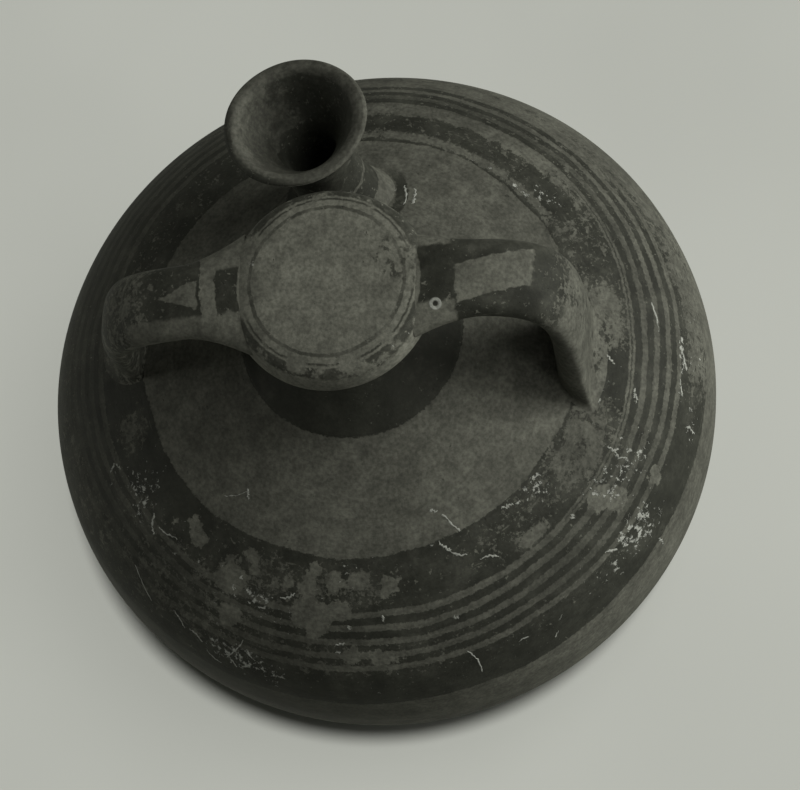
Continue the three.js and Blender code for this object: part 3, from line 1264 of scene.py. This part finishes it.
@dataclass(frozen=True)
class SpoutPaint:
    """The paint on the spout, in distances along it from its root.

    Attributes:
        gap: The bare ring round its spread foot.
        line: The bare line round its stem.
        edge: Where the bare clay of the lip starts.
        throat: Where it ends in the mouth.
        inside: Where the flat of the lip turns down into the mouth.
        stained_and_shaded: The way to the side on which slip colour covers the funnel's inside: slip that
            ran, and painted shade on the wall that faces away from the light.
        run_and_shade_start: Between which distances that way it starts.
        upper_side: Between which distances along Y the lip's washed upper side starts.
        upper_edge: Between which distances along the spout that side starts.
        far_side: Between which distances on the other side slip goes on up to the lip.
        far_edge: Between which distances along the spout that slip ends.
        lime: Where lime clings.
    """

    gap: Pair = (-4.5, 2.2)
    line: Pair = (8.8, 9.8)
    edge: Pair = (35.8, 36.2)
    throat: Pair = (57.0, 56.0)
    inside: float = 43.8
    stained_and_shaded: Triple = (0.75, 0.66, 0)
    run_and_shade_start: Pair = (-2, 3)
    upper_side: Pair = (7, 12)
    upper_edge: Pair = (39, 40.5)
    far_side: Pair = (-7, -15)
    far_edge: Pair = (41.4, 40.6)
    lime: tuple[Spot, ...] = (
        Spot((-0.5, 35, 138), 2.8),
        Spot((1, 34.5, 135), 1.8),
        Spot((6.5, 39, 131), 2.2),
    )

    def mark(self, finish: Finish) -> Socket:
        """Marks where slip colour goes on the spout, with painted shade inside the funnel.

        Args:
            finish: The spout's material.

        Returns:
            The mask of the paint.
        """
        stray = finish.stray(0.5, 2.4, 61, 4)
        along = finish.plus(finish.named("along"), stray)
        off = finish.vector("SUBTRACT", finish.place, SPOUT.mouth)
        side = finish.plus(finish.vector("DOT_PRODUCT", off, self.stained_and_shaded), finish.times(stray, 2))
        inside = finish.rise(along, self.inside - 1, self.inside + 0.5)
        blots = finish.rise(finish.noise(5, 62, 5, rough=0.65), 0.35, 0.65, -4, 4)
        # Slip colour on the funnel's inside towards +X and +Y: partly slip that ran, partly painted shade on
        # the wall that faces away from the light.
        run_and_shade = finish.both(inside, finish.rise(finish.plus(side, blots), *self.run_and_shade_start, 0, 0.9))

        washed = finish.rise(finish.noise(4, 63, 5, rough=0.65), 0.40, 0.62, 0.1, 0.6)
        upper = finish.rise(finish.vector("DOT_PRODUCT", off, (0, 1, 0)), *self.upper_side)
        upper_lip = finish.both(upper, finish.rise(along, *self.upper_edge))
        wash = finish.both(washed, finish.either(inside, upper_lip))
        far = finish.both(finish.rise(side, *self.far_side), finish.rise(along, *self.far_edge))

        throat = finish.plus(along, finish.times(blots, 0.2))
        bare = [finish.stripe(along, *limits) for limits in (self.gap, self.line)]
        bare.append(finish.both(finish.rise(along, *self.edge), finish.rise(throat, *self.throat)))
        return finish.either(finish.without(finish.either(*bare)), run_and_shade, wash, far)


def spout_finish() -> Material:
    """Makes the finish of the spout: slip with bare lines on the stem and a bare funnel."""
    finish = Finish("spout_clay")
    paint = SpoutPaint()
    # The spout's bare clay is 0.9 times the body's: partly painted shade for the funnel's inside.
    return CLAY.dress(finish, paint.mark(finish), 0.3, CLAY.crumbs_at(finish, paint.lime), pale=0.9)


# The thrown body

@dataclass
class ThrownBody:
    """The two thrown halves of the body and the ring foot.

    Attributes:
        form: The body's outline.
        sides: How many sides the halves have.
        foot_outer: The outer radius of the foot.
        foot_inner: The inner radius of the foot.
        joint: Half the gap between the two halves.
        rim_wear: How far the edges at that gap are rounded back.
        hole_gap: How much wider than the spout's bore the hole under it is, in radius.
        skirt: How far below the belly the shoulder's wear goes on.
        flake_reach: Beyond which distance from a flake it makes no difference.
        ageing: How it has aged.
    """

    form: BodyForm = BODY
    sides: int = 384
    foot_outer: float = 46.5
    foot_inner: float = 36
    joint: float = 0.15
    rim_wear: float = 0.3
    hole_gap: float = 0.6
    skirt: float = 6
    flake_reach: float = 6.0
    ageing: Ageing = Ageing()

    def build(self) -> list[Piece]:
        """Builds the halves and the foot, and dresses them.

        Returns:
            The three pieces.
        """
        lower = as_piece("thrown_lower_half", self.lower_half(), "lower_bowl")
        upper = as_piece("thrown_upper_half", self.upper_half(), "shoulder_dome")
        self.pierce(upper)
        self.add_lime(upper)
        foot = as_piece("turned_foot", self.foot(), "foot_ring")
        finish = body_finish()
        for piece in (lower, upper):
            self.mark_wear(piece)
            piece.data.materials.append(finish)
        upper.data.materials.append(CLAY.lime_finish())
        foot.data.materials.append(plain_finish())
        return [lower, upper, foot]

    def sway(self, mesh: Mesh) -> Mesh:
        """Moves the outer skin as unevenly as a hand-turned pot.

        Args:
            mesh: One half, which is changed.

        Returns:
            The same mesh.
        """
        for vert in mesh.verts:
            x, y, z = vert.co / MM
            radius = math.hypot(x, y)
            if radius > 1:
                vert.co += Vector((x, y, 0)) / radius * self.form.stray(x, y, z) * MM
        return mesh

    def rim(self, side: float) -> list[Vector]:
        """Draws a half's flat edge at the belly, from outside in; side is 1 above the gap, -1 below."""
        radius, height = self.form.belly
        level = height + side * self.joint
        return [Vector((radius - self.rim_wear, level)), Vector((radius - self.form.wall, level))]

    def lower_half(self) -> Mesh:
        """Turns the lower half, open upwards.

        Returns:
            The closed mesh, in metres.
        """
        form = self.form
        inside = beside(form.lower.walk(0, 1, 28), form.wall)
        floor = form.base[1] + form.floor
        outline = [Vector((0, form.base[1])), *form.lower.walk(0, 1, 84), *self.rim(-1)]
        outline += [point for point in reversed(inside[:-1]) if point.y > floor + 1]
        outline += [Vector((inside[1].x - form.wall, floor)), Vector((0, floor))]
        return self.sway(turned(outline, self.sides))

    def upper_half(self) -> Mesh:
        """Turns the upper half, closed under the neck.

        Returns:
            The closed mesh, in metres.
        """
        form = self.form
        inside = beside(form.dome(20, 10), form.wall)
        ceiling = form.seat_height - form.crown
        outline = [Vector((0, ceiling))]
        outline += [point for point in reversed(inside[1:]) if point.y < ceiling - 0.5]
        outline += [*reversed(self.rim(1)), *form.dome(66, 34), Vector((0, form.seat_height))]
        return self.sway(turned(outline, self.sides))

    def pierce(self, piece: Piece) -> None:
        """Cuts the hole through which the spout pours.

        Args:
            piece: The upper half.
        """
        turn = UP.rotation_difference(SPOUT.start).to_matrix().to_4x4()
        radius = (SPOUT.bore + self.hole_gap) * MM
        drill = bmesh.new()
        bmesh.ops.create_cone(
            drill,
            cap_ends=True,
            segments=48,
            radius1=radius,
            radius2=radius,
            depth=40 * MM,
            matrix=Matrix.Translation(Vector(SPOUT.root) * MM) @ turn,
        )
        tool = placed("drill", data_of("drill", drill))
        cut = piece.modifiers.new("throat", "BOOLEAN")
        cut.object, cut.operation, cut.solver = tool, "DIFFERENCE", "EXACT"
        graph = bpy.context.evaluated_depsgraph_get()
        piece_cut = bpy.data.meshes.new_from_object(piece.evaluated_get(graph))
        piece.modifiers.clear()
        piece.data = piece_cut
        bpy.data.objects.remove(tool)

    def foot(self) -> Mesh:
        """Turns the ring foot, with softened edges.

        Returns:
            The closed mesh, in metres.
        """
        edge, top = self.form.base
        inner, outer = self.foot_inner, self.foot_outer
        inside = [(inner - 1.5, top + 0.2), (inner - 0.8, 3.6), (inner + 0.1, 0.8), (inner + 1.2, 0)]
        outside = [(outer - 1.4, 0), (outer - 0.1, 1.2), (outer - 0.8, 3.6), (edge + 0.5, top - 0.6)]
        return turned(smooth_line([*inside, *outside, (edge - 0.4, top + 0.4)], 6), 192, closed=True)

    def on_shoulder(self, azimuth: float, radius: float) -> Vector:
        """Finds the point of the shoulder at an azimuth in degrees and a distance from the axis.

        Args:
            azimuth: The azimuth.
            radius: The distance from the axis.

        Returns:
            The point.
        """
        turn = math.radians(azimuth)
        x, y = radius * math.cos(turn), radius * math.sin(turn)
        z = self.form.height(x, y)
        stray = self.form.stray(x, y, z)
        return Vector((x + stray * math.cos(turn), y + stray * math.sin(turn), z))

    def outwards(self, azimuth: float, radius: float) -> Vector:
        """Finds the way outwards from the shoulder, at an azimuth in degrees and a distance from the axis.

        Args:
            azimuth: The azimuth.
            radius: The distance from the axis.

        Returns:
            The way, of length 1.
        """
        small = 0.5
        centre = self.on_shoulder(azimuth, radius)
        down = self.on_shoulder(azimuth, radius + small) - centre
        round_about = self.on_shoulder(azimuth + small, radius) - centre
        return down.cross(round_about).normalized()

    def lime_thread(self, thread: Thread, seed: int) -> Mesh:
        """Draws one thread of lime, half sunk in the clay.

        Args:
            thread: Where it lies and how wide it is.
            seed: What makes it uneven in its own way.

        Returns:
            The closed mesh.
        """
        steps, sides, rise = 12, 6, 0.11
        chance = np.random.default_rng(seed)
        bow = chance.uniform(-1, 1)
        rings = []
        for i in range(steps + 1):
            share = i / steps
            azimuth, radius = Vector(thread.start).lerp(Vector(thread.end), share)
            centre = self.on_shoulder(azimuth, radius)
            normal = self.outwards(azimuth, radius)
            away = self.on_shoulder(*thread.end) - self.on_shoulder(*thread.start)
            sideways = normal.cross(away).normalized()
            full = 0.35 + 0.65 * math.sin(math.pi * (share * 0.9 + 0.05)) ** 0.5
            width = thread.width / 2 * full * chance.uniform(0.2, 1.25)
            aside = bow * away.length * 0.14 * math.sin(math.pi * share)
            centre = centre + sideways * (aside + chance.uniform(-0.4, 0.4) * thread.width)
            wide, high = sideways * width, normal * rise * full
            turns = [FULL_TURN * j / sides for j in range(sides)]
            rings.append([centre + wide * math.cos(turn) + high * math.sin(turn) for turn in turns])
        return swept(rings, {}, looped=False)

    def add_lime(self, piece: Piece) -> None:
        """Adds the threads and blobs of lime to the upper half.

        Args:
            piece: The upper half.
        """
        whole = bmesh.new()
        whole.from_mesh(piece.data)
        clay_faces = len(whole.faces)
        for seed, thread in enumerate(self.ageing.threads):
            data = data_of("thread", self.lime_thread(thread, seed))
            whole.from_mesh(data)
            bpy.data.meshes.remove(data)
        whole.faces.ensure_lookup_table()
        for face in whole.faces[clay_faces:]:
            face.material_index = 1
        whole.to_mesh(piece.data)
        whole.free()
        shade(piece.data, 50)

    def mark_wear(self, piece: Piece) -> None:
        """Stores for each point how near a flake is, how worn and limed it is, and how far slip colour
        darkens it for slip stains and painted shade.

        Args:
            piece: One of the halves.
        """
        data = piece.data
        places = np.empty(3 * len(data.vertices))
        data.vertices.foreach_get("co", places)
        places = places.reshape(-1, 3) / MM
        x, y, z = places.T
        azimuths = np.degrees(np.arctan2(y, x))
        slopes = (np.hypot(x, y) - z) * SLANT
        flake = np.full(len(places), self.flake_reach)
        for spot in self.ageing.flakes:
            centre = np.array(self.on_shoulder(spot.azimuth, spot.radius))
            flake = np.minimum(flake, np.linalg.norm(places - centre, axis=1) - spot.size)
        fields = {"flake": flake}
        for name in ("wear", "stain_and_shade", "crust"):
            total = sum(zone.strength(azimuths, slopes) for zone in getattr(self.ageing, name))
            fields[name] = np.clip(total, 0, 1) * (z > self.form.belly[1] - self.skirt)
        for name, values in fields.items():
            data.attributes.new(name, "FLOAT", "POINT").data.foreach_set("value", values)


# The neck and its disc

@dataclass
class NeckAndDisc:
    """The false neck and the disc that closes it.

    Attributes:
        form: The body's outline.
        disc_radius: The radius of the disc.
        disc_top: The height of the disc's middle.
        disc_bottom: The height of its underside.
        crown_drop: How far the top falls towards its edge.
        skirt: How far the neck's foot is smeared out over the dome.
    """

    form: BodyForm = BODY
    disc_radius: float = 25.6
    disc_top: float = 169.5
    disc_bottom: float = 156.5
    crown_drop: float = 0.9
    skirt: float = 1.4

    def build(self) -> list[Piece]:
        """Builds the neck and the disc, and dresses them.

        Returns:
            The two pieces.
        """
        neck = as_piece("false_neck_stem", self.neck(), "false_neck", crease=70)
        neck.data.materials.append(neck_finish())
        disc = as_piece("false_neck_disc", self.disc(), "neck_disc", crease=70)
        disc.data.materials.append(disc_finish())
        return [neck, disc]

    def neck(self) -> Mesh:
        """Turns the neck, from its smeared foot up into the disc.

        Returns:
            The closed mesh, in metres.
        """
        form = self.form
        foot_share = form.flare.share_at_radius(form.seat + self.skirt)
        foot = form.flare.at(foot_share)
        skirt = form.flare.walk(foot_share, form.seat_share, 4)[1:]
        flank = form.flare.walk(form.seat_share, 1, 40)[1:]
        raised = [point + Vector((0, 0.1)) for point in skirt + flank]
        waist = form.waist[0]
        throat = smooth_line([tuple(raised[-1]), (waist + 0.7, 154), (waist + 3, self.disc_bottom + 0.4)], 6)
        outline = [Vector((0, form.seat_height - 2)), foot - Vector((1, 2)), foot - Vector((0, 0.15))]
        outline += [*raised, *throat[1:], Vector((waist + 3, self.disc_bottom + 2))]
        return turned([*outline, Vector((0, self.disc_bottom + 2))], 160)

    def disc(self) -> Mesh:
        """Turns the disc: a slightly hollow top, a thick rounded edge and a soft underside.

        Returns:
            The closed mesh, in metres.
        """
        radius, top, bottom = self.disc_radius, self.disc_top, self.disc_bottom
        rim = top - self.crown_drop
        under = [(0, bottom + 0.2), (self.form.waist[0] + 3.4, bottom), (radius - 2, bottom + 1.5)]
        edge = [(radius, bottom + 5), (radius - 0.7, bottom + 9)]
        edge += [(radius - 1.8, rim - 0.9), (radius - 3.6, rim)]
        over = [(radius - 6.6, rim + 0.55), (radius - 12, rim + 0.7), (0, top - 0.25)]
        mesh = turned(smooth_line(under + edge + over, 8), 192)
        for vert in mesh.verts:
            x, y, z = vert.co / MM
            turn = math.atan2(y, x)
            edge = fade(math.hypot(x, y), radius - 8, radius)
            vert.co += Vector((x, y, 0)) * 0.006 * edge * math.sin(3 * turn + 1.1) * MM
            vert.co.z += 0.18 * edge * math.sin(2 * turn + 0.4) * MM
        return mesh


# The strap handles

class Side(Enum):
    """The side of the disc from which a strap runs."""

    RIGHT = "right"
    LEFT = "left"


@dataclass
class StrapHandle:
    """A flat strap of clay, bent from the disc down to the shoulder.

    Attributes:
        side: The side on which it lies.
        path: The middle of its thickness, from the disc to the root.
        half_width: Half its width.
        disc_spread: How much wider it is at the disc.
        root_spread: How much wider it is at the root.
        paint: What is painted on it.
        half_thickness: Half its thickness.
        disc_fillet: The share of the path over which it narrows from the disc.
        root_lift: How far the root's edges are pressed outwards, in half thicknesses.
        dive: How far it dips under the disc's top, where it starts.
        dive_reach: The share of the path over which it rises from there.
        squareness: The power that squares its section, 1 for an oval.
        landing_start: From which share of the path its rings tilt to the shoulder.
        smear: The radius of the smeared joint at the root.
        outer_smear: How much wider the joint is smeared on the outer side.
        sides: How many points each ring has.
        steps: How many rings it has.
    """

    side: Side
    path: Curve
    half_width: float
    disc_spread: float
    root_spread: float
    paint: StrapPaint
    half_thickness: float = 4.4
    disc_fillet: float = 0.17
    root_lift: float = 0.8
    dive: float = 0.3
    dive_reach: float = 0.12
    squareness: float = 0.7
    landing_start: float = 0.6
    smear: float = 1.3
    outer_smear: float = 3.4
    sides: int = 64
    steps: int = 120

    def build(self) -> list[Piece]:
        """Builds the strap and dresses it.

        Returns:
            The piece, alone in a list.
        """
        name = f"{self.side.value}_strap"
        piece = as_piece(name, self.mesh(), f"{self.side.value}_handle", crease=75)
        piece.data.materials.append(strap_finish(f"{name}_clay", self.paint))
        return [piece]

    def section(self, share: float, turn: float) -> tuple[Vector, Vector, Pair]:
        """Finds a point of the strap's skin.

        Args:
            share: The share of the path.
            turn: The angle round the section.

        Returns:
            The point, the way outwards there, and its place across and through the strap.
        """
        along = self.path.along(share)
        across = Vector((0, 1, 0))
        across = (across - along * along.y).normalized()
        outward = along.cross(across)
        width = self.half_width + self.root_spread * share**3
        width += self.disc_spread * max(0, 1 - share / self.disc_fillet) ** 2
        side = math.copysign(abs(math.cos(turn)) ** self.squareness, math.cos(turn))
        depth = math.sin(turn) + self.root_lift * share**3 * side**4
        dip = self.dive * max(0, 1 - share / self.dive_reach) ** 2
        level = self.half_thickness * depth
        point = self.path.at(share) + across * width * side + outward * level - UP * dip
        away = (across * math.cos(turn) * width + outward * math.sin(turn) * self.half_thickness).normalized()
        return point, away, (width * side, math.sin(turn))

    def landing(self, turn: float) -> float:
        """Finds the share of the path at which the skin meets the shoulder, at an angle of the section.

        Args:
            turn: The angle.

        Returns:
            The share.
        """
        low, high = 0.5, 1.0
        for _ in range(18):
            middle = (low + high) / 2
            point = self.section(middle, turn)[0]
            if point.z > BODY.height(point.x, point.y):
                low = middle
            else:
                high = middle
        return low

    def mesh(self) -> Mesh:
        """Sweeps the strap from inside the disc down to its smeared joint on the shoulder.

        Returns:
            The closed mesh, in metres.
        """
        turns = [FULL_TURN * j / self.sides for j in range(self.sides)]
        landings = [self.landing(turn) for turn in turns]
        blend = self.landing_start
        outer = 1 if self.side is Side.RIGHT else -1
        rings, along, across, lift = [], [], [], []
        length = 0.0
        before = self.path.at(0)
        for i in range(self.steps + 1):
            share = 0.5 - 0.5 * math.cos(math.pi * i / self.steps)
            centre = self.path.at(share)
            length += (centre - before).length
            before = centre
            ring, row = [], []
            for turn, land in zip(turns, landings):
                late = max(0, (share - blend) / (1 - blend))
                point, away, place = self.section(share if late == 0 else blend + (land - blend) * late, turn)
                if late > 0:
                    smear = self.smear + self.outer_smear * max(0, place[1] * outer)
                    point = self.smeared(point, away, smear)
                ring.append(point)
                row.append(place)
            rings.append(ring)
            along.append([length] * self.sides)
            across.append([place[0] for place in row])
            lift.append([place[1] * outer for place in row])
        rings.append([point - UP * 0.8 for point in rings[-1]])
        values = {"along": along + along[-1:], "across": across + across[-1:], "lift": lift + lift[-1:]}
        return swept(rings, values, looped=False)

    def smeared(self, point: Vector, away: Vector, smear: float) -> Vector:
        """Spreads a point near the shoulder outwards, so that the joint is hollow.

        Args:
            point: A point of the strap's skin.
            away: The way outwards there.
            smear: The radius of the hollow.

        Returns:
            The moved point.
        """
        gap = point.z - BODY.height(point.x, point.y)
        if gap > smear:
            return point
        depth = 1 - max(gap, 0) / smear
        spread = smear * (1 - math.sqrt(1 - depth * depth * 0.98))
        moved = point + Vector((away.x, away.y, 0)) * spread
        moved.z = BODY.height(moved.x, moved.y) + gap
        return moved


# The spout

@dataclass
class Spout:
    """The spout: a narrow stem on a spread foot, bored through, with a flared mouth.

    Attributes:
        axis: Its bending axis.
        sunk: How far its foot reaches into the wall.
        stem: The radius of its stem where it is narrowest.
        lip: The radius of its lip.
        sides: How many points each ring has.
        oval: How far its rings are oval, as a share of their radius.
        wave: How far they are wavy, as a share of their radius.
        lean: How far the mouth's level strays along the axis.
        lean_reach: Over what length that sets in.
    """

    axis: SpoutAxis = SPOUT
    sunk: float = 7
    stem: float = 9.2
    lip: float = 18.2
    sides: int = 128
    oval: float = 0.008
    wave: float = 0.004
    lean: float = 0.3
    lean_reach: float = 12

    def build(self) -> list[Piece]:
        """Builds the spout and dresses it.

        Returns:
            The piece, alone in a list.
        """
        piece = as_piece("flared_spout", self.mesh(), "spout", crease=75)
        piece.data.materials.append(spout_finish())
        return [piece]

    def profile(self, length: float) -> tuple[list[Vector], int]:
        """Draws the profile, in distance along the axis and radius.

        Args:
            length: The length of the axis.

        Returns:
            The profile, from the foot over the lip down the bore, and the index at which its inside starts.
        """
        stem, lip, bore = self.stem, self.lip, self.axis.bore
        outside = [(-self.sunk, stem + 4.2), (-2, stem + 2.4), (2, stem + 1.1), (7, stem + 0.3), (15, stem)]
        outside += [(22, stem + 1.3), (28, stem + 4.4), (length - 1.8, lip - 0.3), (length - 0.7, lip)]
        edge = [(length - 0.1, lip - 0.5), (length, lip - 1.1)]
        edge += [(length - 0.1, lip - 2.2), (length - 0.9, lip - 3.4)]
        inside = [(length - 2.8, lip - 4.5), (31, 11.9), (27, 9.2), (22.5, bore + 0.4), (17, bore)]
        steps = 6
        line = smooth_line([*outside, *edge, *inside, (-self.sunk, bore)], steps)
        return line, steps * (len(outside) + 1)

    def mesh(self) -> Mesh:
        """Sweeps the profile along the bending axis.

        Returns:
            The closed mesh, in metres.
        """
        axis = self.axis.line
        walk = axis.walk(0, 1, 200)
        lengths = [0.0]
        for a, b in zip(walk, walk[1:]):
            lengths.append(lengths[-1] + (b - a).length)
        length = lengths[-1]
        profile, lip_index = self.profile(length)
        rings, along = [], []
        travelled = profile[0].x
        for i, station in enumerate(profile):
            distance, radius = station
            if i > 0:
                travelled += (station - profile[i - 1]).length
            share = float(np.interp(distance, lengths, np.linspace(0, 1, len(lengths))))
            direction = axis.along(min(max(share, 0.001), 0.999))
            centre = axis.at(share) + direction * min(distance, 0)
            sideways = (Vector((1, 0, 0)) - direction * direction.x).normalized()
            upward = direction.cross(sideways)
            ring = []
            for j in range(self.sides):
                turn = FULL_TURN * j / self.sides
                uneven = 1 + self.oval * math.sin(2 * turn + 0.5) + self.wave * math.sin(5 * turn)
                late = fade(distance, length - self.lean_reach, length)
                lean = self.lean * math.sin(2 * turn + 1.9) * late
                arm = sideways * math.cos(turn) + upward * math.sin(turn)
                point = centre + arm * radius * uneven + direction * lean
                if i < lip_index:
                    point.z = max(point.z, BODY.height(point.x, point.y) - 0.8)
                ring.append(point)
            rings.append(ring)
            along.append([travelled] * self.sides)
        return swept(rings, {"along": along}, looped=True)


# The studio

@dataclass(frozen=True)
class Lamp:
    """An area lamp that points at the middle of the jar.

    Attributes:
        name: Its name.
        direction: The way from the jar to the lamp.
        distance: How far away it is, in metres.
        size: How wide it is, in metres.
        level: The light that it throws on a surface that faces it, where 1 shows colours as written.
    """

    name: str
    direction: Triple
    distance: float
    size: float
    level: float

    def place(self) -> Piece:
        """Adds the lamp to the scene.

        Returns:
            The lamp.
        """
        light = bpy.data.lights.new(self.name, "AREA")
        light.shape = "DISK"
        light.size = self.size
        light.energy = self.level * (math.pi * self.distance) ** 2
        lamp = placed(self.name, light)
        way = Vector(self.direction).normalized()
        lamp.location = Studio.middle + way * self.distance
        lamp.rotation_euler = way.to_track_quat("Z", "Y").to_euler()
        return lamp


class Studio:
    """The floor, the lamps, the world and the camera."""

    middle = Vector((0, 0, 0.085))
    jar_lamps = (
        Lamp("low_right_lamp", (0.925, 0.290, 0.250), 1.6, 0.9, 0.76),
        Lamp("near_right_lamp", (0.850, -0.450, 0.280), 1.6, 0.8, 0.22),
        Lamp("high_right_lamp", (0.604, 0.220, 0.766), 1.8, 0.9, 0.35),
        Lamp("left_lamp", (-0.978, 0.0, 0.208), 1.6, 0.8, 0.19),
        Lamp("front_lamp", (0.321, -0.557, 0.766), 1.8, 0.9, 0.05),
    )
    floor_lamps = (
        Lamp("floor_lamp", (0.185, -0.15, 1.0), 4.0, 0.35, 0.62),
        Lamp("wide_floor_lamp", (0.36, 0.0, 0.95), 3.0, 1.5, 0.15),
    )
    floor_colour: Triple = (0.62, 0.635, 0.575)
    floor_bounce: float = 0.14
    world_colour: Triple = (0.46, 0.472, 0.428)
    world_level: float = 0.04

    # The camera looks at the jar's axis at the height of the belly.
    aim = Vector((0, 0, 0.072))
    azimuth: float = 28
    elevation: float = 70.8
    roll_across: float = 0.8965
    roll_up: float = 0.4431
    distance: float = 0.8474
    shift_right: float = 0.00381
    shift_up: float = 0.00074
    lens: float = 139.2

    def build(self, pieces: list[Piece]) -> None:
        """Sets the studio up round the jar.

        Args:
            pieces: The pieces of the jar.
        """
        self.lay_floor()
        self.light(pieces)
        self.set_camera()
        bpy.context.scene.view_settings.view_transform = "Standard"

    def lay_floor(self) -> None:
        """Lays a plain pale floor."""
        mesh = bmesh.new()
        bmesh.ops.create_grid(mesh, x_segments=8, y_segments=8, size=6)
        floor = placed("floor", data_of("floor", mesh))
        finish = Finish("pale_floor")
        cloud = finish.rise(finish.noise(160, 71, 3), 0.3, 0.7, 0.97, 1.03)
        level = finish.ramp(finish.seen(), 0, 1, self.floor_bounce, 1)
        finish.coat(finish.tinted(self.floor_colour, finish.times(cloud, level)), 0.95, 0.1)
        floor.data.materials.append(finish.material)

    def light(self, pieces: list[Piece]) -> None:
        """Hangs the lamps: the jar's, mostly from low on the right, and the floor's from above.

        Args:
            pieces: The pieces of the jar.
        """
        jar = bpy.data.collections.new("lit_by_the_key_lamp")
        for piece in pieces:
            jar.objects.link(piece)
        ground = bpy.data.collections.new("lit_by_the_floor_lamp")
        ground.objects.link(bpy.data.objects["floor"])
        for lamp in self.jar_lamps:
            lamp.place().light_linking.receiver_collection = jar
        for lamp in self.floor_lamps:
            lamp.place().light_linking.receiver_collection = ground

        world = bpy.data.worlds.new("studio_world")
        world.use_nodes = True
        nodes = Nodes(world.node_tree)
        background = world.node_tree.nodes["Background"]
        background.inputs["Color"].default_value = (*self.world_colour, 1)
        level = nodes.ramp(nodes.seen(), 0, 1, self.world_level / self.world_colour[1], 1)
        nodes.feed(background.inputs["Strength"], level)
        bpy.context.scene.world = world

    def set_camera(self) -> None:
        """Sets the camera up as the photograph's: high in front, rolled, with a long lens."""
        turn, rise = math.radians(self.azimuth), math.radians(self.elevation)
        back = Vector((math.sin(turn) * math.cos(rise), -math.cos(turn) * math.cos(rise), math.sin(rise)))
        level = Vector((math.cos(turn), math.sin(turn), 0))
        upright = back.cross(level)
        right = level * self.roll_across - upright * self.roll_up
        up = back.cross(right)
        camera = bpy.data.cameras.new("camera")
        camera.lens = self.lens
        camera.sensor_width = 36
        view = placed("camera", camera)
        basis = Matrix((right, up, back)).transposed().to_4x4()
        stand = self.aim + right * self.shift_right + up * self.shift_up + back * self.distance
        view.matrix_world = Matrix.Translation(stand) @ basis
        bpy.context.scene.camera = view


RIGHT_STRAP = StrapHandle(
    side=Side.RIGHT,
    path=Curve(((20, 0.7, 164.4), (63, 6.6, 167), (56, -0.5, 150), (56.4, -2.4, 114))),
    half_width=9.8,
    disc_spread=3.8,
    root_spread=3.6,
    paint=StrapPaint(
        start=23.2,
        collar=11,
        collar_sides=(-6.5, 8.5),
        gaps=(),
        patch=BarePatch(reach=(11.3, 28.5), low=(-7.5, -2.5), high=(2.0, 7.0)),
        # The bare near flank of the root is painted light.
        bare_and_lit_edge=-5,
        bare_and_lit_reach=(38, 80),
        fresh=34,
        wear=0.72,
        pit=Spot((27, -5.5, 168.2), 1.5),
    ),
)
LEFT_STRAP = StrapHandle(
    side=Side.LEFT,
    path=Curve(((-20, -2, 164.4), (-60.5, -7.4, 167), (-57, -3, 150), (-62.6, 3.4, 110))),
    half_width=9.6,
    disc_spread=6.4,
    root_spread=2,
    paint=StrapPaint(
        start=22.4,
        collar=8,
        collar_sides=(-6, 6),
        gaps=((7.6, 11.3),),
        patch=BarePatch(reach=(12.1, 21.7), low=(-3.7, 0), high=(3.7, 0)),
        bare_and_lit_edge=-5.5,
        bare_and_lit_reach=(-9, 30),
        fresh=22,
        wear=0.55,
    ),
)


def main() -> None:
    """Builds the jar and the studio."""
    logging.basicConfig(level=logging.INFO, format="%(message)s")
    assemblies = [ThrownBody(), NeckAndDisc(), RIGHT_STRAP, LEFT_STRAP, Spout()]
    pieces = [piece for assembly in assemblies for piece in assembly.build()]
    for piece in pieces:
        report(piece)
    Studio().build(pieces)


if __name__ == "__main__":
    main()
